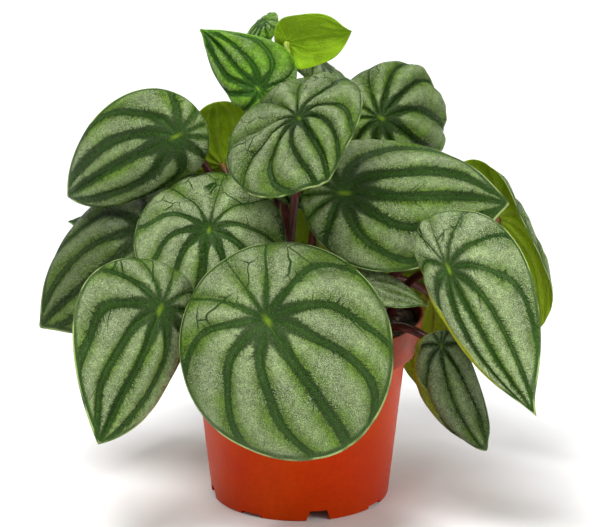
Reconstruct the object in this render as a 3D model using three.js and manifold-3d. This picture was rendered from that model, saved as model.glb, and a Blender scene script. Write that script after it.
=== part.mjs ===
// A watermelon peperomia in a plastic nursery pot. Millimetres, +Z up.
// The origin is the centre of the circle that the pot stands on, at the height of the surface below it.
// Seen from the front, -Y is towards the viewer and +X is to the right.
import * as THREE from 'three';
import { mergeVertices } from 'three/addons/utils/BufferGeometryUtils.js';
import Module from 'manifold-3d';

const wasm = await Module();
wasm.setup();

const GAP = 0.35; // clearance between pieces that touch on the real plant

// Pot
const POT_HEIGHT = 92;
const RIM_RADIUS = 60;
const COLLAR_FOOT_RADIUS = 56.3;
const COLLAR_FOOT_Z = 73.5;
const WALL_TOP_RADIUS = 51.4;
const BASE_RADIUS = 43.3;
const WALL = 1.5;
const FOOT_RING = 3;
const FLOOR_Z = 6;
const FLOOR = 1.6;
const POT_SIDES = 64;
const NOTCH_FIRST = 11.8; // degrees to the right of the front
const NOTCH_COUNT = 8;
const DEEP_NOTCH = { height: 5.3, mouth: 15, top: 8.5 };
const SHALLOW_NOTCH = { height: 1.7, mouth: 11.5, top: 10.5 };
const DRAIN_COUNT = 8;
const DRAIN_RADIUS = 4;
const DRAIN_RING = 31;

// Soil
const SOIL_TOP = 86;
const SOIL_RELIEF = 1.3;
const SOIL_RINGS = 7;
const SOIL_SECTORS = 36;

// Leaves
const BLADE_THICKNESS = 1.1;
const BLADE_RINGS = [0.34, 0.64, 0.87, 1];
const BLADE_LINES = 22; // from the stalk's end to the margin
const PETIOLE_SIDES = 6;
const PETIOLE_STEPS = 9;
const ROOT_DEPTH = 7; // length of stalk that stands in the soil
const SOCKET_SLACK = 1.1; // room round a stalk in the soil
const TIP_CURL_FROM = 0.62; // share of the way to the tip where its curl starts

// Each leaf, from the front upwards and then round the back.
// at: where the stalk meets the blade. faces: the bearing that the blade leans towards, in degrees from +X towards
// +Y. tilt: how far its face leans from level. turn: the tip's turn from straight down the slope, positive to the
// viewer's right when the blade faces the viewer. heel: the share of the length behind the stalk.
// taper: 0 is oval, 0.5 pointed. bend: how far the blade curves back at its left margin, right margin, tip and heel,
// in degrees, seen from the stalk towards the tip. lean: the share by which its left half is wider than the mean.
// bow: how far the midrib bows to the tip's left. curl: lift of the tip's very end. point: its extra length.
// wave: height of the waves of the margin.
// root: where the stalk stands in the soil, as bearing and distance from the axis.
// rise and reach: how straight the stalk leaves the soil and meets the blade. arch: extra height of its last bend.
const LEAVES = [
  { name: 'front_round', at: [-15, -84, 116], faces: -95, tilt: 57, turn: 36, length: 111, width: 108, heel: 0.355,
    taper: 0.04, bend: [35, 45, 40, 25], curl: 0, wave: 0, stalk: 2, root: [-100, 30], rise: 35, reach: 26 },
  { name: 'left_low', at: [-64, -66, 115], faces: -62, tilt: 62, turn: -36, length: 93, width: 76, heel: 0.26,
    taper: 0.42, bend: [95, 20, 25, 25], curl: 4, wave: 0,
    stalk: 2, root: [-162, 34], rise: 38, reach: 24, arch: -10 },
  { name: 'left_centre', at: [-43, -28, 142], faces: -102, tilt: 54, turn: -4, length: 75, width: 80, heel: 0.45,
    taper: 0.06, bend: [35, 35, 40, 30], curl: 0, wave: 0, stalk: 2, root: [-128, 18], rise: 45, reach: 30,
    lean: -0.06 },
  { name: 'left_mid', at: [-73.5, -1, 132.5], faces: -112, tilt: 58, turn: -44, length: 95, width: 76, heel: 0.28,
    taper: 0.2, bend: [60, 35, 15, 30], curl: 0, wave: 0, stalk: 2, root: [-162, 20], rise: 40, reach: 26,
    point: 4 },
  { name: 'left_up', at: [-59, -7, 181.5], faces: -108, tilt: 72, turn: -61, length: 86, width: 60, heel: 0.19,
    taper: 0.2, bend: [105, 12, 30, 30], curl: 0, wave: 0, stalk: 1.8, root: [-170, 10], rise: 60, reach: 30,
    point: 2 },
  { name: 'young_left', at: [-20, 0, 203], faces: -85, tilt: 66, turn: -140, length: 55, width: 41, heel: 0.28,
    taper: 0.5, bend: [100, 15, 20, 30], curl: 0, wave: 0.8, stalk: 1.4, root: [172, 5], rise: 60, reach: 16,
    point: 2, lean: -0.17 },
  { name: 'young_top', at: [-6, 18, 221.5], faces: 82, tilt: 72, turn: -106, length: 38, width: 32, heel: 0.16,
    taper: 0.2, bend: [75, 25, 10, 20], curl: 0, wave: 1, stalk: 1.3, root: [35, 6], rise: 60, reach: 12,
    point: 1 },
  { name: 'young_back', at: [-18, 34, 227], faces: -150, tilt: 40, turn: -20, length: 27, width: 23, heel: 0.3,
    taper: 0.3, bend: [50, 50, 50, 20], curl: 0, wave: 0, stalk: 1.1, root: [120, 11], rise: 60, reach: 14 },
  { name: 'centre_up', at: [-1, -44, 201.2], faces: -130, tilt: 43, turn: 66, length: 66, width: 75, heel: 0.475,
    taper: 0.04, bend: [30, 15, 15, 15], curl: 0, wave: 0, stalk: 1.9, root: [-112, 10], rise: 60, reach: 10,
    point: 4, lean: -0.14, bow: -9 },
  { name: 'right_up', at: [39, 8, 186.5], faces: -85, tilt: 66, turn: 59, length: 73, width: 74, heel: 0.34,
    taper: 0.08, bend: [50, 40, 80, 30], curl: 0, wave: 0, stalk: 1.8, root: [5, 9], rise: 55, reach: 26,
    lean: 0.16 },
  { name: 'right_big', at: [21, -34, 162], faces: -84, tilt: 54, turn: 87, length: 98, width: 75, heel: 0.22,
    taper: 0.2, bend: [50, 25, 15, 30], curl: 0, wave: 0, stalk: 2, root: [-58, 13], rise: 50, reach: 26,
    point: 4 },
  { name: 'back_top', at: [10, 40, 206], faces: 0, tilt: 34, turn: 20, length: 56, width: 54, heel: 0.36,
    taper: 0.14, bend: [35, 35, 40, 35], curl: 0, wave: 0, stalk: 1.8, root: [60, 13], rise: 60, reach: 24 },
  { name: 'right_far', at: [97.5, 27, 131], faces: 65, tilt: 80, turn: -24, length: 92, width: 64, heel: 0.39,
    taper: 0.16, bend: [30, 80, 20, 20], curl: 0, wave: 0, stalk: 2, root: [20, 28], rise: 40, reach: 24,
    point: 2 },
  { name: 'right_front', at: [68, -64, 134], faces: -100, tilt: 62, turn: 28, length: 103, width: 54, heel: 0.29,
    taper: 0.36, bend: [15, 120, 12, 30], curl: 5, wave: 0, stalk: 2, root: [12, 42], rise: 45, reach: 24,
    point: 5, bow: 8, lean: 0.3 },
  { name: 'right_low', at: [66, -52, 92], faces: -108, tilt: 74, turn: 7, length: 55, width: 38, heel: 0.15,
    taper: 0, bend: [30, 54, 15, 30], curl: 0, wave: 0, stalk: 2, root: [-40, 42], rise: 36, reach: 10, arch: -6,
    point: 4, bow: 15, lean: -0.2 },
  { name: 'small_grey', at: [31, -46, 121.5], faces: -70, tilt: 42, turn: 62, length: 38, width: 19, heel: 0.24,
    taper: 0.3, bend: [12, 12, 10, 20], curl: 0, wave: 0, stalk: 1.4, root: [-75, 20], rise: 26, reach: 12,
    point: 3 },
  { name: 'right_back', at: [67, 36, 90], faces: 50, tilt: 76, turn: 10, length: 84, width: 62, heel: 0.3,
    taper: 0.2, bend: [30, 30, 15, 20], curl: 0, wave: 0,
    stalk: 2, root: [38, 31], rise: 36, reach: 16, arch: 14 },
  { name: 'under_centre', at: [-7, -3, 169.5], faces: -80, tilt: 40, turn: 22, length: 41, width: 33, heel: 0.3,
    taper: 0.2, bend: [35, 35, 30, 30], curl: 0, wave: 0, stalk: 1.7, root: [-135, 12], rise: 50, reach: 20 },
  { name: 'back_left_up', at: [-38, 22, 160], faces: 108, tilt: 78, turn: 170, length: 52, width: 46, heel: 0.3,
    taper: 0.05, bend: [30, 30, 10, 20], curl: 0, wave: 0, stalk: 1.5, root: [150, 18], rise: 40, reach: 16 },
  { name: 'left_far', at: [-79, 28, 132], faces: 170, tilt: 12, turn: 0, length: 56, width: 40, heel: 0.36,
    taper: 0.3, bend: [35, 35, -10, 30], curl: 0, wave: 0, stalk: 2, root: [160, 23], rise: 45, reach: 26 },
  { name: 'back_high', at: [-14, 62, 174], faces: 98, tilt: 36, turn: 0, length: 74, width: 70, heel: 0.32,
    taper: 0.14, bend: [35, 35, 35, 30], curl: 0, wave: 0, stalk: 2, root: [98, 17], rise: 50, reach: 26 },
  { name: 'back_right_up', at: [54, 66, 152], faces: 48, tilt: 50, turn: 10, length: 84, width: 68, heel: 0.3,
    taper: 0.18, bend: [35, 35, 35, 30], curl: 0, wave: 0, stalk: 2, root: [44, 20], rise: 50, reach: 26 },
  { name: 'back_left_mid', at: [-57, 74, 132], faces: 136, tilt: 52, turn: -10, length: 84, width: 72, heel: 0.3,
    taper: 0.16, bend: [35, 35, 35, 30], curl: 0, wave: 0, stalk: 2, root: [133, 25], rise: 50, reach: 26 },
  { name: 'back_mid', at: [10, 90, 126], faces: 84, tilt: 62, turn: -8, length: 92, width: 80, heel: 0.3,
    taper: 0.12, bend: [35, 35, 35, 30], curl: 0, wave: 0, stalk: 2, root: [82, 27], rise: 45, reach: 26 },
  { name: 'back_low_right', at: [61, 74, 102], faces: 58, tilt: 64, turn: 10, length: 88, width: 70, heel: 0.28,
    taper: 0.22, bend: [35, 35, 25, 30], curl: 3, wave: 0, stalk: 2, root: [62, 32], rise: 35, reach: 24 },
  { name: 'back_low_left', at: [-40, 82, 100], faces: 112, tilt: 64, turn: -10, length: 88, width: 74, heel: 0.3,
    taper: 0.18, bend: [35, 35, 25, 30], curl: 3, wave: 0, stalk: 2, root: [110, 32], rise: 35, reach: 24 },
  { name: 'left_back_low', at: [-86, 30, 98], faces: 162, tilt: 66, turn: 0, length: 84, width: 66, heel: 0.28,
    taper: 0.2, bend: [35, 35, 25, 30], curl: 0, wave: 0,
    stalk: 2, root: [174, 31], rise: 35, reach: 24, arch: 6 },
];

const YOUNG = new Set(['young_left', 'young_top', 'young_back']);

const deg = THREE.MathUtils.degToRad;

// Turns a closed geometry into a solid that can be joined and cut.
function solid(geometry) {
  const bare = geometry.clone();
  bare.deleteAttribute('normal');
  bare.deleteAttribute('uv');
  const merged = mergeVertices(bare, 1e-4);
  return new wasm.Manifold(new wasm.Mesh({
    numProp: 3,
    vertProperties: merged.attributes.position.array,
    triVerts: new Uint32Array(merged.index.array),
  }));
}

// Turns a solid back into a geometry.
function geometryOf(made) {
  const mesh = made.getMesh();
  const geometry = new THREE.BufferGeometry();
  geometry.setAttribute('position', new THREE.BufferAttribute(new Float32Array(mesh.vertProperties), 3));
  geometry.setIndex(new THREE.BufferAttribute(new Uint32Array(mesh.triVerts), 1));
  geometry.computeVertexNormals();
  return geometry;
}

// A profile of [radius, height] pairs turned round the Z axis.
function turned(profile, sides) {
  const points = profile.map(([r, z]) => new THREE.Vector2(r, z));
  return new THREE.LatheGeometry(points, sides).rotateX(Math.PI / 2);
}

// The wedge that cuts one notch into the foot ring, standing across the ring at the front.
function notchCutter({ height, mouth, top }) {
  const below = 2;
  const shape = new THREE.Shape([
    new THREE.Vector2(-mouth / 2, -below),
    new THREE.Vector2(mouth / 2, -below),
    new THREE.Vector2(mouth / 2, 0),
    new THREE.Vector2(top / 2, height),
    new THREE.Vector2(-top / 2, height),
    new THREE.Vector2(-mouth / 2, 0),
  ]);
  const depth = 4 * FOOT_RING;
  const cutter = new THREE.ExtrudeGeometry(shape, { depth, bevelEnabled: false });
  return cutter.rotateX(Math.PI / 2).translate(0, -BASE_RADIUS + 2 * FOOT_RING + 2, 0);
}

function pot() {
  const innerTop = RIM_RADIUS - WALL;
  const innerCollar = COLLAR_FOOT_RADIUS - WALL;
  const innerWall = WALL_TOP_RADIUS - WALL;
  const innerBase = BASE_RADIUS - WALL + 0.7;
  const ledge = COLLAR_FOOT_Z + WALL;
  const body = turned([
    [0, FLOOR_Z], [BASE_RADIUS - FOOT_RING, FLOOR_Z], [BASE_RADIUS - FOOT_RING, 0], [BASE_RADIUS - 0.5, 0],
    [BASE_RADIUS, 0.8], [WALL_TOP_RADIUS, COLLAR_FOOT_Z - 0.6], [COLLAR_FOOT_RADIUS - 0.8, COLLAR_FOOT_Z],
    [COLLAR_FOOT_RADIUS, COLLAR_FOOT_Z + 0.8], [RIM_RADIUS - 0.3, POT_HEIGHT - 2.2],
    [RIM_RADIUS, POT_HEIGHT - 0.8], [RIM_RADIUS - 0.5, POT_HEIGHT], [innerTop, POT_HEIGHT],
    [innerCollar, ledge], [innerWall, ledge - 0.8], [innerBase, FLOOR_Z + FLOOR], [0, FLOOR_Z + FLOOR],
  ], POT_SIDES);
  let made = solid(body);
  for (let i = 0; i < NOTCH_COUNT; i++) {
    const cutter = notchCutter(i % 2 ? SHALLOW_NOTCH : DEEP_NOTCH);
    cutter.rotateZ(deg(NOTCH_FIRST + i * 360 / NOTCH_COUNT));
    made = made.subtract(solid(cutter));
  }
  for (let i = 0; i < DRAIN_COUNT; i++) {
    const hole = new THREE.CylinderGeometry(DRAIN_RADIUS, DRAIN_RADIUS, 4 * FLOOR, 8).rotateX(Math.PI / 2);
    hole.translate(DRAIN_RING, 0, FLOOR_Z + FLOOR / 2).rotateZ(deg(NOTCH_FIRST + i * 360 / DRAIN_COUNT));
    made = made.subtract(solid(hole));
  }
  return geometryOf(made);
}

// The height of the soil's lumps at a place on its top.
function soilRelief(x, y) {
  return SOIL_RELIEF * (Math.sin(x * 0.31 + 1.3) * Math.cos(y * 0.27) + 0.6 * Math.sin(x * 0.13 - y * 0.43));
}

// One blade's own axes: along the midrib to the tip, across to its left, and up out of its face.
function bladeAxes(leaf) {
  const b = deg(leaf.faces);
  const tilt = deg(leaf.tilt);
  const turn = deg(leaf.turn);
  const up = new THREE.Vector3(Math.cos(b) * Math.sin(tilt), Math.sin(b) * Math.sin(tilt), Math.cos(tilt));
  const down = new THREE.Vector3(Math.cos(b) * Math.cos(tilt), Math.sin(b) * Math.cos(tilt), -Math.sin(tilt));
  const level = new THREE.Vector3().crossVectors(up, down);
  const along = down.multiplyScalar(Math.cos(turn)).addScaledVector(level, Math.sin(turn));
  const across = new THREE.Vector3().crossVectors(up, along);
  return { along, across, up };
}

// A point of the blade's middle surface. turn runs from 0 at the tip to PI at the heel and on round the right half,
// share from 0 at the stalk's end to 1 at the margin. The flat outline is rolled over an arc both ways.
function bladePoint(leaf, turn, share) {
  const front = leaf.length * (1 - leaf.heel);
  const back = leaf.length * leaf.heel;
  const peak = 0.5 / (1 + leaf.taper);
  const widest = 2 * Math.sqrt(peak) * (1 - peak) ** (0.5 + leaf.taper);
  const narrowing = ((1 - Math.cos(turn)) / 2) ** leaf.taper / widest;
  const point = (leaf.point ?? 0) * share ** 3 * Math.max(0, Math.cos(turn)) ** 24;
  const ahead = share * leaf.length * ((1 + Math.cos(turn)) / 2 - leaf.heel) + point;
  const half = leaf.width / 2 * (1 + (leaf.lean ?? 0) * Math.sign(Math.sin(turn)));
  const aside = share * half * Math.sin(turn) * narrowing;
  const [left, right, tip, heel] = leaf.bend.map(deg);
  const endArc = ahead > 0 ? front / tip : back / heel;
  const sideArc = leaf.width / 2 / (aside > 0 ? left : right);
  const slope = ahead / endArc;
  const curl = leaf.curl * Math.max(0, (ahead / front - TIP_CURL_FROM) / (1 - TIP_CURL_FROM)) ** 2;
  const wave = leaf.wave * share ** 2 * Math.sin(5 * turn + leaf.length);
  const sag = sideArc * (1 - Math.cos(aside / sideArc)) - curl - wave;
  const { along, across, up } = bladeAxes(leaf);
  return new THREE.Vector3(...leaf.at)
    .addScaledVector(along, endArc * Math.sin(slope) - sag * Math.sin(slope))
    .addScaledVector(up, endArc * (Math.cos(slope) - 1) - sag * Math.cos(slope))
    .addScaledVector(across, sideArc * Math.sin(aside / sideArc) + (leaf.bow ?? 0) * (ahead / front) ** 2);
}

// A blade: its middle surface in rings round the stalk's end, thickened to both sides and closed at the margin.
function blade(leaf) {
  const points = [bladePoint(leaf, 0, 0)];
  for (const share of BLADE_RINGS) {
    for (let i = 0; i < BLADE_LINES; i++) {
      points.push(bladePoint(leaf, (i / BLADE_LINES) * 2 * Math.PI, share));
    }
  }
  const at = (ring, i) => 1 + ring * BLADE_LINES + (i % BLADE_LINES);
  const faces = [];
  for (let i = 0; i < BLADE_LINES; i++) {
    faces.push(0, at(0, i), at(0, i + 1));
    for (let ring = 1; ring < BLADE_RINGS.length; ring++) {
      faces.push(at(ring - 1, i), at(ring, i), at(ring, i + 1));
      faces.push(at(ring - 1, i), at(ring, i + 1), at(ring - 1, i + 1));
    }
  }
  const middle = new THREE.BufferGeometry().setFromPoints(points).setIndex(faces);
  middle.computeVertexNormals();
  const normals = middle.attributes.normal;
  const offset = (side) => points.map((p, i) => p.clone()
    .addScaledVector(new THREE.Vector3().fromBufferAttribute(normals, i), side * BLADE_THICKNESS / 2));
  const under = points.length;
  const all = [...faces];
  for (let i = 0; i < faces.length; i += 3) {
    all.push(under + faces[i], under + faces[i + 2], under + faces[i + 1]);
  }
  const margin = BLADE_RINGS.length - 1;
  for (let i = 0; i < BLADE_LINES; i++) {
    const [a, b] = [at(margin, i), at(margin, i + 1)];
    all.push(a, under + a, under + b, a, under + b, b);
  }
  const closed = new THREE.BufferGeometry().setFromPoints([...offset(1), ...offset(-1)]).setIndex(all);
  closed.computeVertexNormals();
  return closed;
}

// The line that a stalk follows, from its foot in the soil to the underside of its blade.
function petioleCurve(leaf) {
  const [bearing, distance] = leaf.root;
  const foot = new THREE.Vector3(
    Math.cos(deg(bearing)) * distance, Math.sin(deg(bearing)) * distance, SOIL_TOP - ROOT_DEPTH);
  const lean = new THREE.Vector3(foot.x, foot.y, 0).multiplyScalar(0.3 / distance).add(new THREE.Vector3(0, 0, 1));
  const rising = foot.clone().addScaledVector(lean.normalize(), leaf.rise);
  const { up } = bladeAxes(leaf);
  const approach = up.clone().multiplyScalar(leaf.reach).add(new THREE.Vector3(0, 0, -(leaf.arch ?? 0)));
  const slant = leaf.stalk * Math.sin(approach.angleTo(up));
  const hollow = leaf.stalk * Math.tan(deg(Math.max(...leaf.bend)) * BLADE_RINGS[0] / 2);
  const clear = BLADE_THICKNESS / 2 + GAP + Math.max(slant, hollow);
  const end = new THREE.Vector3(...leaf.at).addScaledVector(up, -clear);
  return new THREE.CubicBezierCurve3(foot, rising, end.clone().sub(approach), end);
}

function petiole(leaf) {
  const section = new THREE.Shape();
  for (let i = 0; i < PETIOLE_SIDES; i++) {
    const a = (i / PETIOLE_SIDES) * 2 * Math.PI;
    section[i ? 'lineTo' : 'moveTo'](leaf.stalk * Math.cos(a), leaf.stalk * Math.sin(a));
  }
  return new THREE.ExtrudeGeometry(section, { steps: PETIOLE_STEPS, extrudePath: petioleCurve(leaf) });
}

// The hole that a stalk stands in: a plain round bore along the stalk's first stretch.
function socket(leaf) {
  const curve = petioleCurve(leaf);
  const direction = curve.getTangentAt(0);
  const length = 3 * ROOT_DEPTH;
  const radius = leaf.stalk + SOCKET_SLACK;
  const bore = new THREE.CylinderGeometry(radius, radius, length, 8).translate(0, length / 2 - GAP, 0);
  bore.applyQuaternion(new THREE.Quaternion().setFromUnitVectors(new THREE.Vector3(0, 1, 0), direction));
  return bore.translate(...curve.getPointAt(0).toArray());
}

function soil() {
  const slack = GAP;
  const bottom = FLOOR_Z + FLOOR + slack;
  const ledge = COLLAR_FOOT_Z + WALL + slack;
  const baseRadius = BASE_RADIUS - WALL + 0.7 - slack - 0.2;
  const wallRadius = WALL_TOP_RADIUS - WALL - slack;
  const collarRadius = COLLAR_FOOT_RADIUS - WALL - slack;
  const flare = (RIM_RADIUS - COLLAR_FOOT_RADIUS) / (POT_HEIGHT - ledge);
  const topRadius = collarRadius + (SOIL_TOP - 2 * SOIL_RELIEF - ledge) * flare;
  const profile = [[0, bottom], [baseRadius, bottom], [wallRadius - 0.1, ledge - 0.8], [collarRadius, ledge]];
  for (let i = 0; i < SOIL_RINGS; i++) {
    profile.push([topRadius * (1 - i / SOIL_RINGS), SOIL_TOP]);
  }
  profile.push([0, SOIL_TOP]);
  const body = turned(profile, SOIL_SECTORS);
  const position = body.attributes.position;
  for (let i = 0; i < position.count; i++) {
    const [x, y, z] = [position.getX(i), position.getY(i), position.getZ(i)];
    if (z > SOIL_TOP - 0.01) {
      position.setZ(i, z + soilRelief(x, y));
    }
  }
  return LEAVES.reduce((made, leaf) => made.subtract(solid(socket(leaf))), solid(body));
}

const potPlastic = new THREE.MeshStandardMaterial({ color: 0xb8410f, roughness: 0.45 });
const soilBrown = new THREE.MeshStandardMaterial({ color: 0x2a1c15, roughness: 1 });
const matureBlade = new THREE.MeshStandardMaterial({ color: 0x7f9b6c, roughness: 0.45 });
const youngBlade = new THREE.MeshStandardMaterial({ color: 0x5d9a28, roughness: 0.4 });
const redStalk = new THREE.MeshStandardMaterial({ color: 0x5c1a17, roughness: 0.5 });
const greenStalk = new THREE.MeshStandardMaterial({ color: 0x7d8f34, roughness: 0.5 });

const plant = new THREE.Group();

function add(name, geometry, material) {
  const mesh = new THREE.Mesh(geometry, material);
  mesh.name = name;
  plant.add(mesh);
}

add('pot', pot(), potPlastic);
add('soil', geometryOf(soil()), soilBrown);
for (const leaf of LEAVES) {
  const young = YOUNG.has(leaf.name);
  add(`blade_${leaf.name}`, blade(leaf), young ? youngBlade : matureBlade);
  add(`petiole_${leaf.name}`, petiole(leaf), young ? greenStalk : redStalk);
}

export default plant;
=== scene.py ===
import math
from typing import NamedTuple

import bpy
from bpy.props import FloatProperty, FloatVectorProperty, IntProperty, PointerProperty
from mathutils import Matrix, Vector


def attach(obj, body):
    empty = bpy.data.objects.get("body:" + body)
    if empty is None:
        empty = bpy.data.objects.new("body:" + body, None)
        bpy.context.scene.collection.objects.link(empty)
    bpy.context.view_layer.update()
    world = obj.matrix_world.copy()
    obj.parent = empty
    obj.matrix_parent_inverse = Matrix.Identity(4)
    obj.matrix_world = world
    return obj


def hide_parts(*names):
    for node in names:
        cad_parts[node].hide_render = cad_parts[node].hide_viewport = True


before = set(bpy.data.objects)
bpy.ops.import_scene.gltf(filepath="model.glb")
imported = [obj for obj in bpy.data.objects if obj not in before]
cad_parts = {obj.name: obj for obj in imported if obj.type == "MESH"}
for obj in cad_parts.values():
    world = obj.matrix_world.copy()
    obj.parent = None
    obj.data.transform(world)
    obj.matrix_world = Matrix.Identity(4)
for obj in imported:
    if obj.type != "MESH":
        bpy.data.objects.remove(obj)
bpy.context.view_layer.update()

bl_info = {
    "name": "Potted Peperomia",
    "version": (1, 0, 0),
    "blender": (4, 5, 0),
    "location": "View3D > Sidebar > Peperomia",
    "description": "Builds a watermelon peperomia in a plastic nursery pot",
    "category": "Object",
}

MM = 0.001
TAU = 2 * math.pi

# Pot, in millimetres and degrees. The wall's radius grows by FLOOR_FLARE from the foot to the floor. A notch
# is as wide as its mouth at the foot and narrows to its top. The block that cuts a drain hole is CUT_DEPTH
# high, and an edge is drawn sharp past SHARP_ANGLE.
POT_HEIGHT = 92
RIM_RADIUS = 60
COLLAR_FOOT_RADIUS = 56.3
COLLAR_FOOT_Z = 73.5
WALL_TOP_RADIUS = 51.4
BASE_RADIUS = 43.3
WALL = 1.5
FOOT_RING = 3
FLOOR_Z = 6
FLOOR = 1.6
FLOOR_FLARE = 0.7
NOTCH_FIRST = 11.8
NOTCH_COUNT = 8
DEEP_MOUTH = 15
DEEP_TOP = 8.5
SHALLOW_MOUTH = 11.5
SHALLOW_TOP = 10.5
DRAIN_RADIUS = 4
DRAIN_RING = 31
DRAIN_SIDES = 40
CUT_DEPTH = 10
SHARP_ANGLE = 35

# Soil, in millimetres. It keeps SOIL_CLEARANCE and some slack from the pot, and steps out over SOIL_STEP to
# lie on the ledge. Crumbs lie on what is less than CRUMB_DEPTH below its top, and the thickest is the share
# CRUMB_FLATNESS of the widest one's width. A fibre is at least the share SHORTEST_FIBRE of the longest, and
# tipped by up to FIBRE_TIP radians.
SOIL_TOP = 86
SOIL_RELIEF = 1.3
SOIL_CLEARANCE = 0.35
SOIL_SLACK = 0.1
SOIL_STEP = 0.8
SOIL_LEDGE = COLLAR_FOOT_Z + WALL + SOIL_CLEARANCE
SOIL_COLLAR_RADIUS = COLLAR_FOOT_RADIUS - WALL - SOIL_CLEARANCE
SOIL_RINGS = 56
SOIL_SECTORS = 170
CRUMB_DEPTH = 4
CRUMB_FLATNESS = 0.7
SHORTEST_FIBRE = 0.4
FIBRE_TIP = 0.25

# Leaves, in millimetres. DIMPLE is for a blade 100 mm long. TIP_CURL_FROM is the share of the way to the tip,
# and JOINT_SWELL the joint's radius against the stalk's. The joint bites into the blade, and the stalk ends
# under it.
BLADE_THICKNESS = 0.9
ROOT_DEPTH = 7
TIP_CURL_FROM = 0.62
DIMPLE = 1.3
JOINT_SWELL = 1.15
JOINT_BITE = 0.2
STALK_GAP = 0.3
WAVES_ROUND = 5

# How strongly a blade's rings crowd towards its margin, and how abruptly its tip is drawn out to a point and
# its margin is rounded off.
RING_CROWDING = 0.8
POINT_SHARPNESS = 24
MARGIN_ROUNDING = 24

# The stripes run on arcs from the stalk's end to a point by the tip. Their sizes are in lengths of the
# blade's front, which is from the stalk's end to the tip. They are MIDRIB_DENSITY times as dense at the
# midrib as even ones, and crowd towards the heel. FULL_GAP is the gap that swells in full, and STRIPE_WIDTH
# half the widest stripe's width.
MIDRIB_DENSITY = 0.6
FULL_GAP = 0.2
STRIPE_WIDTH = 0.033

# The share of the swelling between stripes by which the stripes themselves lie deeper than the plain blade.
VALLEY_SHARE = 0.5

# Where the green band and the pale edge begin and are full, as shares of the way from the stalk's end to the
# margin, and half the length and width of the yellow spot over the stalk, in lengths of the blade's front.
MARGIN_BAND = (0.935, 0.965)
EDGE_BAND = (0.979, 0.988)
SPOT_LENGTH = 0.055
SPOT_WIDTH = 0.024

# Scales of the finishes' patterns, in cells on a metre
SKIN_CLOUD = 330.0
SKIN_GRAIN = 1700.0
SKIN_PAINTED_GLINT = 2300.0
SKIN_SPECK = 2900.0
STALK_KNOTS = 120.0
STALK_STREAKS = (700, 700, 160)
STALK_FLECKS = 1500.0
PLASTIC_CLOUD = 28.0
PLASTIC_GRAIN = 420.0
PLASTIC_LINES = (3, 3, 900)
PLASTIC_DUST_AND_SHADE = 95.0
SOIL_LUMPS = 190.0
SOIL_CLODS = 160.0
SOIL_SPECKS = 420.0
FLOOR_GRAIN = 60.0

# Seeds of the first grown blade, the first young one, and the crumbs' places, turns and sizes
GROWN_SEED = 1
YOUNG_SEED = 41
CRUMB_SEED = 4
TURN_SEED = 3
SIZE_SEED = 7

# Stage, in metres and degrees, with the camera's lens and sensor in millimetres. The camera looks down by
# CAMERA_DIP. A lamp is its width, its place and the point that it aims at.
FLOOR_SIZE = 8.0
CAMERA_PLACE = (0, -1.45, 0.578)
CAMERA_DIP = 17.67
CAMERA_LENS = 189.7
CAMERA_SENSOR = 36
LAMP_ABOVE = (1.0, (-0.5, -0.8, 2.1), (0, 0, 0.12))
LAMP_RIGHT = (0.7, (1.1, -0.75, 0.75), (0, 0, 0.1))
LAMP_BEHIND = (1.2, (0, 1.5, 1.5), (0, 1.0, 0))


class Leaf(NamedTuple):
    """One leaf's place and shape in millimetres and degrees, and how it is coloured.

    at: where the stalk meets the blade. faces: the bearing that the blade leans towards. tilt: its lean from
    level. turn: the tip's turn from straight down the slope. heel: the share of the length behind the stalk.
    taper: 0 is oval, 0.5 pointed. bend: how far the blade curves back at its left margin, right margin, tip
    and heel. stalk: the stalk's radius. root: where it stands in the soil, as bearing and distance. rise and
    reach: how far the handles of its curve are from the soil and from the blade. arch: how much higher the
    upper handle is. curl: how far the tip turns up. wave: how far the margin waves. point: how far the tip is
    drawn out. lean: the share by which the left half is wider. bow: how far the midrib bows to the tip's
    left. quilt: how far the blade swells between its stripes. stripe: the stripes' width against the usual.
    veins: stripes from the midrib round to the heel. beyond: how far past the tip they would meet. rolled:
    the share of the left half, or below 0 of the right one, where the margin is rolled over. tone: 0 is
    silver, 1 green. shade: brightness, partly the leaf's own and partly painted shade, lowest on leaves
    that hang in shadow.
    """

    at: tuple
    faces: float
    tilt: float
    turn: float
    length: float
    width: float
    heel: float
    taper: float
    bend: tuple
    stalk: float
    root: tuple
    rise: float
    reach: float
    arch: float = 0
    curl: float = 0
    wave: float = 0
    point: float = 0
    lean: float = 0
    bow: float = 0
    quilt: float = 2
    stripe: float = 1
    veins: int = 6
    beyond: float = 0.12
    rolled: float = 0
    tone: float = 0.4
    shade: float = 0.9


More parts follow.
